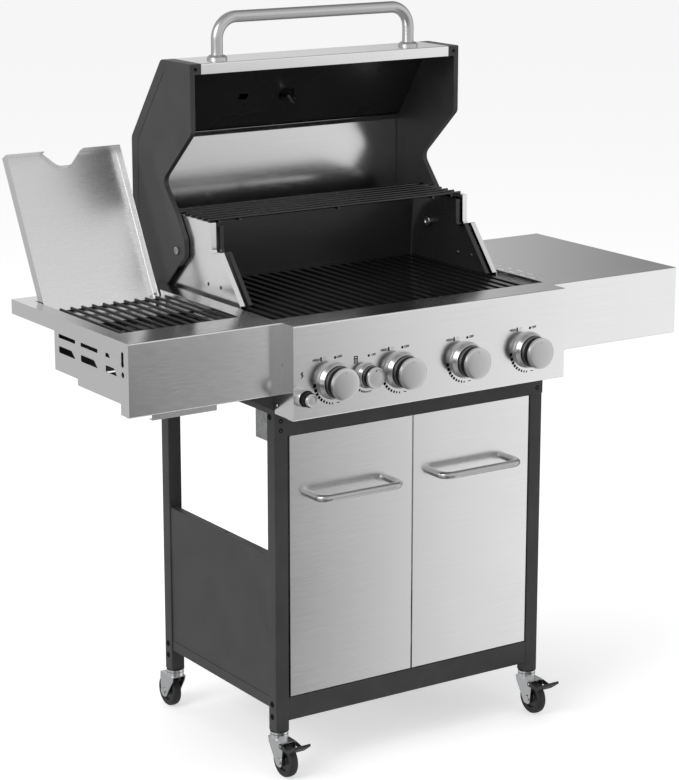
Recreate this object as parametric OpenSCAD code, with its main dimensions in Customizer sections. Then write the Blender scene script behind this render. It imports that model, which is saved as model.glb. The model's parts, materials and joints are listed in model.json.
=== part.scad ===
// Gas barbecue grill on a cabinet cart: four main burners, a side burner under a flip-up lid,
// two side tables, a hinged main lid, two doors and four swivel casters.
// Both lids are drawn open and the doors shut. X runs left to right, Y front to back, Z up.

/* [Cart] */
// Width of the cart over its legs
cart_w = 600; // [594:1:606]
// Depth of the cart over its legs
cart_d = 410; // [405:1:415]
// Height of the table tops above the floor
deck = 856; // [852:1:860]
// Width of a leg, seen from the front
leg_w = 28; // [26:1:28]
// Depth of a leg, seen from the side
leg_d = 26; // [24:1:26]
// Underside of the legs above the floor
leg_foot = 82.7; // [82:0.1:84]
// Top of the side panels above the floor
side_panel_top = 417; // [400:1:430]
// Radius of the hole in the shelf that a gas cylinder's foot ring stands in
tank_hole_r = 104; // [98:1:106]

/* [Control panel] */
// Height of the control panel
panel_h = 170; // [168:1:172]
// How far the panel stands in front of the legs
panel_out = 64; // [62:0.5:66]
// Spacing of the four main knobs
knob_pitch = 143.7; // [142:0.1:145]
// Height of the knob centres below the table tops
knob_drop = 107; // [105:1:109]
// Radius of a main knob's cap
knob_r = 28.2; // [27:0.1:29]
// Reach of a main knob's cap in front of the panel
knob_out = 36; // [35:0.5:37]

/* [Doors] */
// Underside of the doors above the floor
door_foot = 148.5; // [148:0.5:150]
// Top of the doors above the floor
door_top = 641; // [638:0.5:641]
// Depth of a door's folded tray
door_t = 18; // [16:1:20]
// Overall width of a door handle
door_grip_w = 190; // [180:1:200]

/* [Tables] */
// Width of each side table
table_w = 304; // [300:1:308]
// Height of the table fronts
fascia_h = 129; // [127:1:131]
// How far the table fronts stand in front of the legs
fascia_out = 26; // [24:0.5:28]

/* [Main lid] */
// Depth from the front of the legs to the back of the open lid
lid_back = 505; // [503:1:507]
// Height of the open lid's uppermost face above the table tops
lid_rise = 419.7; // [417:0.1:421]
// Depth of the lid's hinge line behind the front of the legs
hinge_y = 336.6; // [336:0.1:337]
// Height of the lid's hinge line above the table tops
hinge_up = 70.6; // [70:0.1:71]
// Span of the lid handle between its leg centres
grip_span = 427.6; // [420:0.1:436]
// Radius of the lid handle's tube
grip_r = 11; // [10:0.5:12]

/* [Side burner] */
// Width of the side burner's lid
side_lid_w = 235; // [233:1:236]
// Angle through which the side burner's lid turns to shut
side_lid_turn = 118; // [116:1:119]
// Radius of the finger notch in the side lid's edge
notch_r = 33; // [28:1:36]

/* [Casters] */
// Radius of a caster wheel
wheel_r = 31.75; // [31:0.05:32]
// Width of a caster's tread
wheel_w = 18; // [16:1:19]
// Trail of a caster's axle behind its stem
trail = 22; // [20:1:23]

/* [Hidden] */

$fn = 48;
arc_steps = 8;          // straight pieces in each rounded corner of a folded sheet
sheet = 1.2;            // thickness of the folded sheet metal
gap = 0.4;              // gap between faces that move past each other
run = 0.05;             // radial clearance of a shaft in its hole

// Colours as the finished object shows them
steel = [0.80, 0.80, 0.79];
paint = [0.20, 0.20, 0.21];
enamel = [0.09, 0.09, 0.10];
zinc = [0.66, 0.67, 0.68];
brass = [0.72, 0.58, 0.30];
trim = [0.55, 0.55, 0.56];
rubber = [0.06, 0.06, 0.06];

// Cart
hw = cart_w / 2;
leg_x = hw - leg_w / 2;
leg_top = deck - 56;
rail_top = deck - 144;              // top of the upper side rails
shelf_z = door_foot - 2;            // top of the bottom shelf
inner_x = hw - leg_w;               // inner face of the legs
side_rail_w = 12;
panel_foot = deck - panel_h;
panel_y = -panel_out;
door_beam = door_top + 1.6;         // underside of the beam above the doors
rear_rail_y = cart_d - 11;          // front of the upper rear rail
tank_y = 200;                       // centre of the gas cylinder's hole

// Knobs
knob_z = deck - knob_drop;
knob_x = [for (i = [0:3]) (i - 1.5) * knob_pitch];
side_knob_x = -144.7;
igniter_x = -283.7;
igniter_z = deck - 127.5;
bezel_out = 14.4;                   // reach of the main bezels in front of the panel
stem_r = 4;
stem_in = 26;                       // length of a valve stem behind the panel

// Gas train
manifold_y = -28;
manifold_z = deck - 134;
manifold_r = 9.5;
burner_z = deck - 86;
burner_r = 12.5;
inlet_x = 250;
inlet_r = 8;
side_pipe_z = deck - 76;            // pipe to the side burner, in front of the main burners
side_pipe_y = -20;

// Firebox
plate_x = hw - 12;                  // outer face of the stainless side plates
liner_x = hw - 22;                  // outer face of the black inner plates
bowl_x = hw - 16;                   // outer face of the bowl at the grates
hopper_x = hw - 31;                 // outer face of the bowl between the legs
box_back = cart_d - 12;
box_top = deck + 136;
hinge_z = deck + hinge_up;
grate_top = deck - 5;
rack_r = 2.5;

// Tray under the bowl
tray_x = 115;
tray_z = deck - 194;
cup_y = 260;

// Main lid
lid_x = hw - gap;                   // outer face of the end panels
cap_x = hw - 24;                    // joint between the end panels and the skin
lid_top = deck + lid_rise;
lid_lip = lid_top - 19.7;           // lower edge of the front lip
hinge_r = 4;

// Side burner, measured from the cart's left face
well_x0 = -275.5;
well_x1 = -35.5;
well_y0 = 56;
well_y1 = 374;
well_z = deck - 24;
side_pin_y = 352.5;
side_pin_z = deck - 10;
side_pin_r = 2.5;
side_lid_x0 = (well_x0 + well_x1 - side_lid_w) / 2;
burner_x = -155;
burner_y = 190;
louvre_y = [38, 110, 193];

// Doors
door_pin_y = 6;
door_pin_x = inner_x - 11.5;
door_x0 = inner_x - 3.5;            // hinged edge
door_pin_r = 3;

// Casters
fork_half = 15;
fork_top = leg_foot - 12.7;
axle_r = 4;
pedal_y = -30;
pedal_z = 64;
pedal_pin_r = 2.5;
stem_y = [leg_d / 2, cart_d - leg_d / 2];

// The origin lies on the floor, midway between the knobs' faces and the open lid's back.
y_mid = (lid_back - panel_out - knob_out) / 2;

module place() translate([0, -y_mid, 0]) children();
module beside_left() place() translate([-hw, 0, 0]) children();
module beside_right() place() translate([hw, 0, 0]) children();
module both_sides() {
    children();
    mirror([1, 0, 0]) children();
}
module on_panel(x, z) translate([x, panel_y, z]) rotate([90, 0, 0]) children();

module box(a, b) translate(a) cube(b - a);
module along_x(x0, x1) translate([x0, 0, 0]) rotate([90, 0, 90]) linear_extrude(x1 - x0) children();
module along_y(y0, y1) translate([0, y1, 0]) rotate([90, 0, 0]) linear_extrude(y1 - y0) children();
module rod_x(x0, x1, y, z, r) translate([x0, y, z]) rotate([0, 90, 0]) cylinder(r = r, h = x1 - x0);
module rod_y(y0, y1, x, z, r) translate([x, y1, z]) rotate([90, 0, 0]) cylinder(r = r, h = y1 - y0);
module rod_z(z0, z1, x, y, r) translate([x, y, z0]) cylinder(r = r, h = z1 - z0);

// Outlines: a point is [x, y, radius of the corner].
function unit(v) = v / norm(v);
function flat(p) = [p[0], p[1]];
function corner(a, b, c, r) =
    let (u = unit(a - b), v = unit(c - b), half = acos(u * v) / 2)
    let (m = b + unit(u + v) * r / sin(half), s = b + u * r / tan(half) - m)
    let (turn = sign(u[0] * v[1] - u[1] * v[0]) * (2 * half - 180), a0 = atan2(s[1], s[0]))
    [for (i = [0:arc_steps]) m + r * [cos(a0 + turn * i / arc_steps), sin(a0 + turn * i / arc_steps)]];
function rounded(pts, closed = false) =
    let (n = len(pts))
    [for (i = [0:n - 1]) each (pts[i][2] == 0 || !closed && (i == 0 || i == n - 1)
        ? [flat(pts[i])]
        : corner(flat(pts[(i + n - 1) % n]), flat(pts[i]), flat(pts[(i + 1) % n]), pts[i][2]))];
function reversed(v) = [for (i = [len(v) - 1:-1:0]) v[i]];
function step_aside(path, t) =
    [for (i = [0:len(path) - 1])
        let (a = path[max(i - 1, 0)], b = path[i], c = path[min(i + 1, len(path) - 1)])
        let (u = i == 0 ? unit(c - b) : unit(b - a), v = i == len(path) - 1 ? u : unit(c - b))
        b + t * [-u[1] - v[1], u[0] + v[0]] / (1 + u * v)];
// The section of a sheet t thick that follows the points; a negative t lies to the right.
function folded(pts, t) =
    let (path = rounded(pts))
    concat(path, reversed(step_aside(path, t)));

module loop_handle(span, reach, r, bend) {
    rod_x(-span / 2 + bend, span / 2 - bend, 0, reach, r);
    both_sides() {
        rod_z(0, reach - bend, span / 2, 0, r);
        translate([span / 2 - bend, 0, reach - bend])
            rotate([90, 0, 0])
            rotate_extrude(angle = 90)
            translate([bend, 0]) circle(r);
    }
}

// ---- Cart ----

module leg(side, back) {
    x0 = side < 0 ? -hw : hw - leg_w;
    y0 = back ? cart_d - leg_d : 0;
    wall = 1.5;
    color(paint) place() difference() {
        box([x0, y0, leg_foot], [x0 + leg_w, y0 + leg_d, leg_top]);
        box([x0 + wall, y0 + wall, leg_foot + 8], [x0 + leg_w - wall, y0 + leg_d - wall, leg_top + 1]);
        rod_z(leg_foot - 1, leg_foot + 9, x0 + leg_w / 2, y0 + leg_d / 2, 5);
    }
}

module front_rails() color(paint) place() {
    // lower rail, a channel open to the back
    along_x(-inner_x, inner_x)
        polygon(folded([[12, 102, 0], [0, 102, 2], [0, shelf_z, 2], [12, shelf_z, 0]], -1.5));
    // beam above the doors, its face in front of the legs
    along_x(-hw, hw) polygon(folded([[-1.5, door_beam, 0], [-1.5, deck - 150, 0]], -1.5));
    along_x(-inner_x, inner_x)
        polygon(folded([[-1, door_beam, 0], [22, door_beam, 1.8], [22, door_beam + 12, 0]], 1.5));
}

module side_and_rear_rails() color(paint) place() {
    both_sides() {
        for (z = [126, rail_top - 30])
            difference() {
                box([hw - 14, leg_d, z], [hw - 2, cart_d - leg_d, z + (z < 200 ? 20 : 30)]);
                box([hw - 15, leg_d - 1, z + 1.5], [hw - 3.5, cart_d - leg_d + 1, z + (z < 200 ? 18.5 : 28.5)]);
            }
    }
    // the upper rear rail stays behind the firebox
    for (p = [[cart_d - 18, 110], [rear_rail_y, deck - 156]])
        difference() {
            box([-inner_x, p[0], p[1]], [inner_x, cart_d - 2, p[1] + 36]);
            box([-inner_x - 1, p[0] - 1, p[1] + 1.5], [inner_x + 1, cart_d - 3.5, p[1] + 34.5]);
        }
}

module side_panels() color(paint) place() both_sides() difference() {
    union() {
        box([hw - 4, leg_d, 146], [hw - 4 + sheet, cart_d - leg_d, side_panel_top]);
        box([hw - 18, leg_d, side_panel_top - sheet], [hw - 4, cart_d - leg_d, side_panel_top]);
        box([hw - 18, leg_d, side_panel_top - 12], [hw - 18 + sheet, cart_d - leg_d, side_panel_top]);
    }
    rod_z(side_panel_top - 5, side_panel_top + 1, hw - 11, cart_d * 0.46, 3);
}

module bottom_shelf() color(paint) place() {
    half = hw - 14;
    y0 = 13.5;
    y1 = cart_d - 18;
    difference() {
        union() {
            box([-half, y0, shelf_z - sheet], [half, y1, shelf_z]);
            both_sides() box([half - sheet, y0, shelf_z - 18], [half, y1, shelf_z]);
            rod_z(shelf_z - 12, shelf_z, 0, tank_y, tank_hole_r + sheet);
        }
        rod_z(shelf_z - 13, shelf_z + 1, 0, tank_y, tank_hole_r);
        both_sides() {
            box([inner_x, 0, 100], [hw, leg_d, shelf_z + 1]);
            box([inner_x, cart_d - leg_d, 100], [hw, cart_d, shelf_z + 1]);
        }
    }
}

module mounting_brackets() color(zinc) place() {
    // gussets that carry the tables at the front and back legs
    both_sides() for (y = [0.8, cart_d - 6])
        along_y(y, y + 2)
            polygon([[hw, deck - 164], [hw, deck - 27.5], [hw + 1.5, deck - 27.5], [hw + 1.5, deck - sheet],
                [hw + 100, deck - sheet], [hw + 100, deck - 112], [hw + 76, deck - fascia_h + 3]]);
    // angle that stiffens each front leg under its side rail
    both_sides() {
        box([hw - 4, leg_d, deck - 226], [hw - 2, 67, rail_top - 30]);
        box([hw - 16, leg_d, deck - 226], [hw - 4, leg_d + 2, rail_top - 30]);
    }
    // angles between the beam and the upper rear rail, on which the grease tray slides
    both_sides() {
        box([tray_x - 3, 0, tray_z - 2], [tray_x + 14, rear_rail_y, tray_z - 0.5]);
        box([tray_x + 12.5, 0, tray_z - 0.5], [tray_x + 14, rear_rail_y, deck - 150]);
    }
}

module caster_stems() color(zinc) place() both_sides() for (y = stem_y) {
    rod_z(fork_top + 1, leg_foot + 30, leg_x, y, 5);
    rod_z(leg_foot - 4, leg_foot, leg_x, y, 17);
}

// ---- Control panel and gas train ----

module control_panel() color(steel) place() difference() {
    union() {
        along_x(-hw, hw)
            polygon(folded([[panel_y + 22, panel_foot, 0], [panel_y, panel_foot, 2], [panel_y, deck, 2.5],
                [4, deck, 1.5], [4, deck - 16, 0]], -sheet));
        both_sides()
            along_x(hw - sheet, hw)
            polygon([[panel_y + 1, panel_foot + 1], [panel_y + 1, deck - 1], [0, deck - 1], [0, deck - 149.9],
                [-1.5, deck - 149.9], [-1.5, panel_foot + 1]]);
    }
    for (x = concat(knob_x, [side_knob_x])) on_panel(x, knob_z) translate([0, 0, -5]) cylinder(r = 9, h = 10);
    on_panel(igniter_x, igniter_z) translate([0, 0, -5]) cylinder(r = 11, h = 10);
    // way through the left flange for the side burner's pipe
    rod_x(-hw - 1, -hw + 5, side_pipe_y, side_pipe_z, 7);
}

// A ring that stands on the panel: radius r0 at its foot, r1 at its rounded face
module ring(r0, r1, out, hole) rotate_extrude()
    polygon(rounded([[hole, 0, 0], [r0, 0, 0], [r0, out * 0.35, 1.5], [r1, out, 2.5], [hole, out, 0]], true));

module knob_bezels() color(trim) place() {
    for (x = knob_x) on_panel(x, knob_z) ring(34, 30.5, bezel_out, 12);
    on_panel(side_knob_x, knob_z) ring(23.5, 21, 11, 12);
    on_panel(igniter_x, igniter_z) {
        ring(16.5, 15.5, 16, 14);
        // switch barrel through the panel, its flange inside the ring
        difference() {
            union() {
                translate([0, 0, -34]) cylinder(r = 10.9, h = 34);
                cylinder(r = 14, h = 1.5);
            }
            translate([0, 0, -30]) cylinder(r = 9, h = 40);
        }
    }
}

module gas_manifold() color(zinc) place() {
    rod_x(-250, 262, manifold_y, manifold_z, manifold_r);
    // inlet stub that the gas hose screws onto
    rod_z(deck - 172, manifold_z, inlet_x, manifold_y, inlet_r);
    rod_z(manifold_z - manifold_r - 14, manifold_z - manifold_r - 4, inlet_x, manifold_y, 12);
}

module valve(x) {
    difference() {
        rod_y(panel_y + 3, -22, x, knob_z, 10);
        rod_y(panel_y + 2, panel_y + stem_in + 1, x, knob_z, stem_r + run);
    }
    difference() {
        rod_z(manifold_z, knob_z - 8, x, manifold_y, 7);
        rod_x(x - 10, x + 10, manifold_y, manifold_z, manifold_r);
    }
}

module gas_valves() color(brass) place() {
    for (x = knob_x) {
        valve(x);
        box([x - 5, -32, knob_z + 5], [x + 5, -22, burner_z + 5]);
        rod_y(-23, -8, x, burner_z, 5);
    }
    valve(side_knob_x);
    box([side_knob_x - 5, -32, knob_z + 5], [side_knob_x + 5, -22, side_pipe_z - 10]);
}

module side_burner_pipe() color(zinc) place() {
    rod_z(side_pipe_z - 10, side_pipe_z, side_knob_x, -27, 4);
    translate([side_knob_x, -27, side_pipe_z]) sphere(4);
    rod_y(-27, side_pipe_y, side_knob_x, side_pipe_z, 4);
    translate([side_knob_x, side_pipe_y, side_pipe_z]) sphere(4);
    rod_x(-hw + burner_x, side_knob_x, side_pipe_y, side_pipe_z, 4);
    translate([-hw + burner_x, side_pipe_y, side_pipe_z]) sphere(4);
    rod_y(side_pipe_y, 66, -hw + burner_x, side_pipe_z, 4);
}

// ---- Firebox ----

// Front edge of the side plates, from the grates up to the top
function cheek_edge(top) = [[132.5, deck - 1, 0], [205, deck + 86, 3], [226, deck + 80, 3],
    [231, deck + 86, 2], [232, top, 0]];

module firebox() color(enamel) place() {
    front_edge = cheek_edge(box_top - 7);
    set_back = [for (p = front_edge) [p[0] + 6, p[1] - 3, p[2]]];
    difference() {
        union() {
            // bowl: walls at the grates, step in between the legs, slopes down to the slot
            both_sides()
                along_y(11, box_back)
                polygon(folded([[bowl_x, deck - 8, 0], [bowl_x, deck - 50, 0], [hopper_x, deck - 50, 0],
                    [hopper_x, deck - 116, 0], [62, deck - 140, 0], [62, deck - 156, 0]], -sheet));
            // front and back walls of the bowl
            for (y = [11, box_back - sheet])
                along_y(y, y + sheet)
                    polygon([[-bowl_x, deck - 8], [-bowl_x, deck - 50], [-hopper_x, deck - 50],
                        [-hopper_x, deck - 116], [-62, deck - 140], [-62, deck - 156], [62, deck - 156],
                        [62, deck - 140], [hopper_x, deck - 116], [hopper_x, deck - 50], [bowl_x, deck - 50],
                        [bowl_x, deck - 8]]);
            // back wall above the grates
            box([-plate_x + sheet, box_back - sheet, deck - 20], [plate_x - sheet, box_back, box_top - sheet]);
            // ledges for the grates and the flame tamers
            both_sides() box([bowl_x - 16, 11, grate_top - 16], [bowl_x, box_back, grate_top - 14]);
            for (y = [11, box_back - 26]) box([-hopper_x, y, deck - 53], [hopper_x, y + 26, deck - 51]);
            // inner side plates, each with a stepped flange along its front edge
            both_sides() {
                along_x(liner_x - sheet, liner_x)
                    polygon(concat([[box_back, box_top - 10], [box_back, deck - 10], [140, deck - 10]],
                        [for (p = set_back) flat(p)]));
                along_x(liner_x - 9, liner_x) polygon(folded(set_back, -sheet));
                along_x(liner_x - 9, liner_x - 9 + sheet)
                    polygon(concat(rounded(front_edge), reversed(rounded(set_back))));
                along_x(liner_x - 16, liner_x - 9 + sheet) polygon(folded(front_edge, -sheet));
            }
        }
        for (x = knob_x) rod_y(10, 20, x, burner_z, burner_r + 0.5);
        both_sides() cheek_holes(liner_x);
    }
}

module cheek_holes(x) {
    for (p = [[244.6, 21.6], [200, 22]]) rod_x(x - 20, x + 5, p[0], deck + p[1], 3.5);
    rod_x(x - 20, x + 5, hinge_y, hinge_z, hinge_r);
}

module firebox_side_plates() color(steel) place() both_sides() difference() {
    union() {
        along_x(plate_x - sheet, plate_x)
            polygon(concat([[box_back, box_top], [box_back, deck - 52], [cart_d - leg_d - 1, deck - 52],
                [cart_d - leg_d - 1, rail_top], [leg_d + 1, rail_top], [leg_d + 1, deck - 52], [12, deck - 52],
                [12, deck - 10], [132.5, deck - 10]], [for (p = cheek_edge(box_top)) flat(p)]));
        along_x(liner_x, plate_x)
            polygon(folded(concat(cheek_edge(box_top - 1), [[233, box_top, 0], [box_back, box_top, 0]]), -sheet));
    }
    cheek_holes(plate_x);
}

module main_burners() color(steel) place() for (x = knob_x) difference() {
    rod_y(-14, cart_d - 44, x, burner_z, burner_r);
    rod_y(-15, cart_d - 46, x, burner_z, burner_r - sheet);
    // air shutter opening in the venturi
    rod_z(burner_z, burner_z + 20, x, -2, 6);
}

module flame_tamers() color(steel) place() for (x = knob_x)
    along_y(16, box_back - 6)
        polygon(folded([[x - 48, deck - 51, 0], [x - 44, deck - 47, 0], [x, deck - 22, 3], [x + 44, deck - 47, 0],
            [x + 48, deck - 51, 0]], sheet));

module cooking_grates() color(enamel) place() {
    half = liner_x - sheet - 0.6;
    pitch = 23.4;
    both_sides() {
        for (i = [0:11]) {
            x = 7 + i * pitch;
            if (x + 6 < half) box([x, 14, grate_top - 8], [x + 11, box_back - 4, grate_top]);
        }
        box([1, 14, grate_top - 8], [half, 24, grate_top]);
        box([1, box_back - 14, grate_top - 8], [half, box_back - 4, grate_top]);
        for (y = [60, 200, 340]) box([1, y, grate_top - 14], [half, y + 8, grate_top - 6]);
    }
}

module warming_rack() color(zinc) place() {
    z = box_top + rack_r;
    for (i = [0:6]) rod_x(-liner_x - 6, liner_x + 6, 249 + 21 * i, z, rack_r);
    both_sides() {
        rod_y(246, 378, liner_x - 16, z - 4, rack_r);
        rod_y(246, 378, liner_x - 60, z - 4, rack_r);
    }
    rod_y(246, 378, 0, z - 4, rack_r);
}

module hinge_pins() color(zinc) {
    place() both_sides() {
        // main lid pivots: spacer, shank and a nut on each side
        rod_x(plate_x, lid_x + gap, hinge_y, hinge_z, hinge_r);
        rod_x(plate_x, lid_x - 4.4, hinge_y, hinge_z, 9);
        rod_x(lid_x + gap, lid_x + gap + 3, hinge_y, hinge_z, 7.5);
        rod_x(liner_x - 8, plate_x, hinge_y, hinge_z, hinge_r);
        rod_x(liner_x - 8, liner_x - sheet, hinge_y, hinge_z, 8);
        // door pins in the rail and the beam
        rod_z(shelf_z, shelf_z + 8, door_pin_x, door_pin_y, door_pin_r);
        rod_z(door_beam - 8, door_beam, door_pin_x, door_pin_y, door_pin_r);
    }
    beside_left() {
        rod_x(well_x0, side_lid_x0 + 4, side_pin_y, side_pin_z, side_pin_r);
        rod_x(side_lid_x0 + side_lid_w - 4, well_x1, side_pin_y, side_pin_z, side_pin_r);
    }
}

module grease_tray() color(zinc) place() difference() {
    box([-tray_x, 24, tray_z], [tray_x, cart_d - 26, tray_z + 28]);
    box([-tray_x + sheet, 24 + sheet, tray_z + sheet], [tray_x - sheet, cart_d - 26 - sheet, tray_z + 29]);
    rod_z(tray_z - 1, tray_z + 2, 0, cup_y, 12);
}

module grease_cup() color(zinc) place() {
    difference() {
        rod_z(tray_z - 50, tray_z - 4, 0, cup_y, 38);
        rod_z(tray_z - 50 + sheet, tray_z, 0, cup_y, 38 - sheet);
    }
    // wire hanger that hooks the cup to the tray
    both_sides() box([36.8, cup_y - 4, tray_z - 6], [39, cup_y + 4, tray_z]);
}

// ---- Left table and side burner ----

module left_table() color(steel) beside_left() difference() {
    union() {
        box([-table_w, 0, deck - sheet], [0, 415, deck]);
        box([-table_w, 0, deck - 27], [-table_w + sheet, 415, deck]);
        box([-table_w, 415 - sheet, deck - 27], [0, 415, deck]);
        box([-sheet, 4.5, deck - 27], [0, 415, deck]);
        box([well_x0 - sheet, well_y0 - sheet, well_z - sheet], [well_x1 + sheet, well_y1 + sheet, deck]);
    }
    box([well_x0, well_y0, well_z], [well_x1, well_y1, deck + 1]);
    // opening over the burner
    box([-262, 72, well_z - 2], [-49, 242, well_z + 1]);
}

module left_fascia() color(steel) beside_left() difference() {
    union() {
        along_x(-table_w, 0)
            polygon(folded([[-14, deck - fascia_h, 0], [-fascia_out, deck - fascia_h, 2], [-fascia_out, deck, 2],
                [0, deck, 0]], -sheet));
        box([-table_w, -fascia_out + 0.6, deck - fascia_h + 0.6], [-table_w + sheet, 0, deck - 0.6]);
        box([-table_w, -fascia_out + 0.6, deck - fascia_h + 0.6], [-table_w + sheet, 3, deck - 27.5]);
        // folded lip below the front
        box([-257, -20, deck - fascia_h - 11], [-129, -20 + sheet, deck - fascia_h + sheet]);
        box([-257, -20, deck - fascia_h - 11], [-129, -8, deck - fascia_h - 11 + sheet]);
    }
    // keyhole and screw hole in the left flange
    rod_x(-table_w - 1, -table_w + 3, -5.5, deck - 22, 3);
    rod_x(-table_w - 1, -table_w + 3, -5.5, deck - 39, 5);
    box([-table_w - 1, -8.5, deck - 39], [-table_w + 3, -2.5, deck - 22]);
    rod_x(-table_w - 1, -table_w + 3, -6, deck - 57, 5);
}

module side_burner_box() color(steel) beside_left() {
    x0 = -table_w + sheet + 0.1;
    x1 = -14;
    foot = deck - 98;
    difference() {
        union() {
            difference() {
                box([x0, 3.2, foot], [x1, 248, deck - 27]);
                box([x0 + sheet, 3.2 + sheet, foot + sheet], [x1 - sheet, 248 - sheet, deck]);
            }
            // hooded louvres
            for (y = louvre_y)
                translate([x0 + 0.6, 0, 0]) along_x(0, 5.4) polygon(louvre(y, 0));
        }
        for (y = louvre_y) {
            translate([x0 + 0.6, 0, 0]) along_x(-3, 4.4) polygon(louvre(y, 1));
            box([x0 - 1, y - 31, deck - 37], [x0 + 2, y + 31, deck - 30]);
        }
        // ways in for the pipe and for air
        rod_y(0, 10, burner_x, side_pipe_z, 8);
        box([-240, 60, foot - 1], [-70, 180, foot + 3]);
    }
}
function louvre(y, in) = [[y - 31 + in * 2, deck - 64 + in], [y - 20 + in, deck - 52 - in],
    [y + 20 - in, deck - 52 - in], [y + 31 - in * 2, deck - 64 + in]];

module side_burner_pan() color(zinc) beside_left() difference() {
    box([-297, 5, deck - 113], [-60, 174, deck - 98.2]);
    box([-297 + sheet, 5 + sheet, deck - 113 + sheet], [-60 - sheet, 174 - sheet, deck]);
}

module side_burner() color(enamel) beside_left() {
    translate([burner_x, burner_y, deck - 66]) {
        rotate_extrude()
            polygon([[0, 0], [14, 0], [20, 8], [38, 18], [40, 30], [34, 32], [30, 38], [0, 38]]);
        // stem down to the box floor
        translate([0, 0, -30.8]) cylinder(r = 6, h = 36);
    }
    difference() {
        rod_y(70, burner_y, burner_x, deck - 76, 10);
        rod_y(69, burner_y - 12, burner_x, deck - 76, 8.6);
    }
}

module side_burner_grate() color(enamel) beside_left() {
    z = deck - 13;
    x0 = well_x0 + 10;
    span = well_x1 - well_x0 - 20;
    for (i = [0:10]) rod_y(66, 338, x0 + span * i / 10, z, 2.8);
    for (y = [70, 202, 334]) rod_x(x0, x0 + span, y, z - 4, 2.8);
    for (x = [x0, x0 + span], y = [70, 334]) rod_z(well_z, z - 3, x, y, 2.8);
}

module side_lid() color(steel) beside_left()
    translate([0, side_pin_y, side_pin_z]) rotate([-side_lid_turn, 0, 0])
    translate([0, -side_pin_y, -side_pin_z]) {
        x0 = side_lid_x0;
        x1 = side_lid_x0 + side_lid_w;
        y0 = well_y0 + 3;
        y1 = side_pin_y + 7.5;
        difference() {
            union() {
                box([x0, y0, deck - sheet], [x1, y1, deck]);
                for (x = [x0, x1 - sheet]) box([x, y0, deck - 20], [x + sheet, y1, deck]);
                box([x0, y0, deck - 20], [x1, y0 + sheet, deck]);
            }
            rod_z(deck - 30, deck + 5, (x0 + x1) / 2, y0 - 2, notch_r);
            rod_x(x0 - 1, x1 + 1, side_pin_y, side_pin_z, side_pin_r + run);
        }
    }

// ---- Right table ----

module right_table() color(steel) beside_right() difference() {
    union() {
        box([0, 0, deck - sheet], [table_w, 412, deck]);
        box([table_w - sheet, 0, deck - fascia_h], [table_w, 412, deck]);
        box([0, 412 - sheet, deck - 40], [table_w, 412, deck]);
        box([0, 4.5, deck - 27], [sheet, 412, deck]);
    }
    // two rows of slots beside the firebox
    for (x = [12, 31], i = [0:4])
        box([x - 2, 38 + 34 * i, deck - 3], [x + 2, 58 + 34 * i, deck + 1]);
}

module right_fascia() color(steel) beside_right() {
    along_x(0, table_w)
        polygon(folded([[-14, deck - fascia_h, 0], [-fascia_out, deck - fascia_h, 2], [-fascia_out, deck, 2],
            [0, deck, 0]], -sheet));
    box([table_w - sheet, -fascia_out + 0.6, deck - fascia_h + 0.6], [table_w, 0, deck - 0.6]);
}

// ---- Main lid ----

// Outer line of the open lid, from the front lip over the top and down the back
lid_line = [[281, lid_lip, 0], [281, lid_top, 2.5], [387.8, lid_top, 15], [lid_back, lid_top - 155.6, 20],
    [lid_back, deck + 4, 10], [472, deck - 23, 10], [405, deck - 23, 0]];
// Lower and front edge of an end panel, from the back up round the hinge to the lip
arm_line = [[336, deck + 41, 18], [310, deck + 62, 12], [312, deck + 94, 15], [338.7, deck + 136.5, 20],
    [389.4, deck + 194.6, 17], [281, deck + 292.4, 12], [281, lid_lip, 0]];

module lid_skin() color(steel) place() difference() {
    along_x(-cap_x, cap_x) polygon(folded(lid_line, -sheet));
    thermometer_axis(0) translate([0, 0, -5]) cylinder(r = 5, h = 40);
}

module lid_end() color(paint) difference() {
    union() {
        along_x(lid_x - 3, lid_x)
            polygon(concat(rounded(lid_line), rounded(concat([[405, deck - 23, 0]], arm_line))));
        along_x(cap_x, lid_x) polygon(folded(lid_line, -2));
        along_x(lid_x - 10, lid_x) polygon(folded(arm_line, -2));
    }
    // groove that follows the back of the panel
    along_x(lid_x - 0.8, lid_x + 1)
        polygon(folded([[376.5, lid_top - 22.7, 0], [480, lid_top - 158.7, 12], [481, deck + 40, 0]], 1.4));
    rod_x(lid_x - 12, lid_x + 1, hinge_y, hinge_z, hinge_r + run);
}

module lid_left_end() place() mirror([1, 0, 0]) lid_end();
module lid_right_end() place() lid_end();

module lid_liner() color(enamel) place() difference() {
    along_x(-cap_x - 20, cap_x + 20)
        polygon(folded([[284, lid_top - 17.5, 0], [382, lid_top - 17.5, 6], [394, lid_top - 35, 6],
            [478, lid_top - 151, 0]], -sheet));
    thermometer_axis(0) translate([0, 0, -30]) cylinder(r = 5, h = 40);
    thermometer_axis(-97) translate([-10, -3.5, -30]) cube([20, 7, 40]);
}

module lid_back_panel() color(steel) place()
    along_x(-cap_x - 20, cap_x + 20)
        polygon(folded([[478, lid_top - 154, 0], [487, lid_top - 164, 3], [487, deck + 10, 8], [470, deck - 8, 8],
            [420, deck - 8, 0]], -sheet));

module lid_handle() color(zinc) place() translate([0, 329.5, lid_top]) {
    loop_handle(grip_span, 76, grip_r, 40);
    both_sides() translate([grip_span / 2, 0, 0])
        rotate_extrude() polygon(rounded([[0, 0, 0], [19, 0, 0], [19, 4, 2], [14, 8, 3], [0, 8, 0]], true));
}

// Places its children on the lid's sloping back, at height x along the hinge, +Z outwards
module thermometer_axis(x) translate([x, 445.6, lid_top - 76.7]) rotate([-53, 0, 0]) children();

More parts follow.
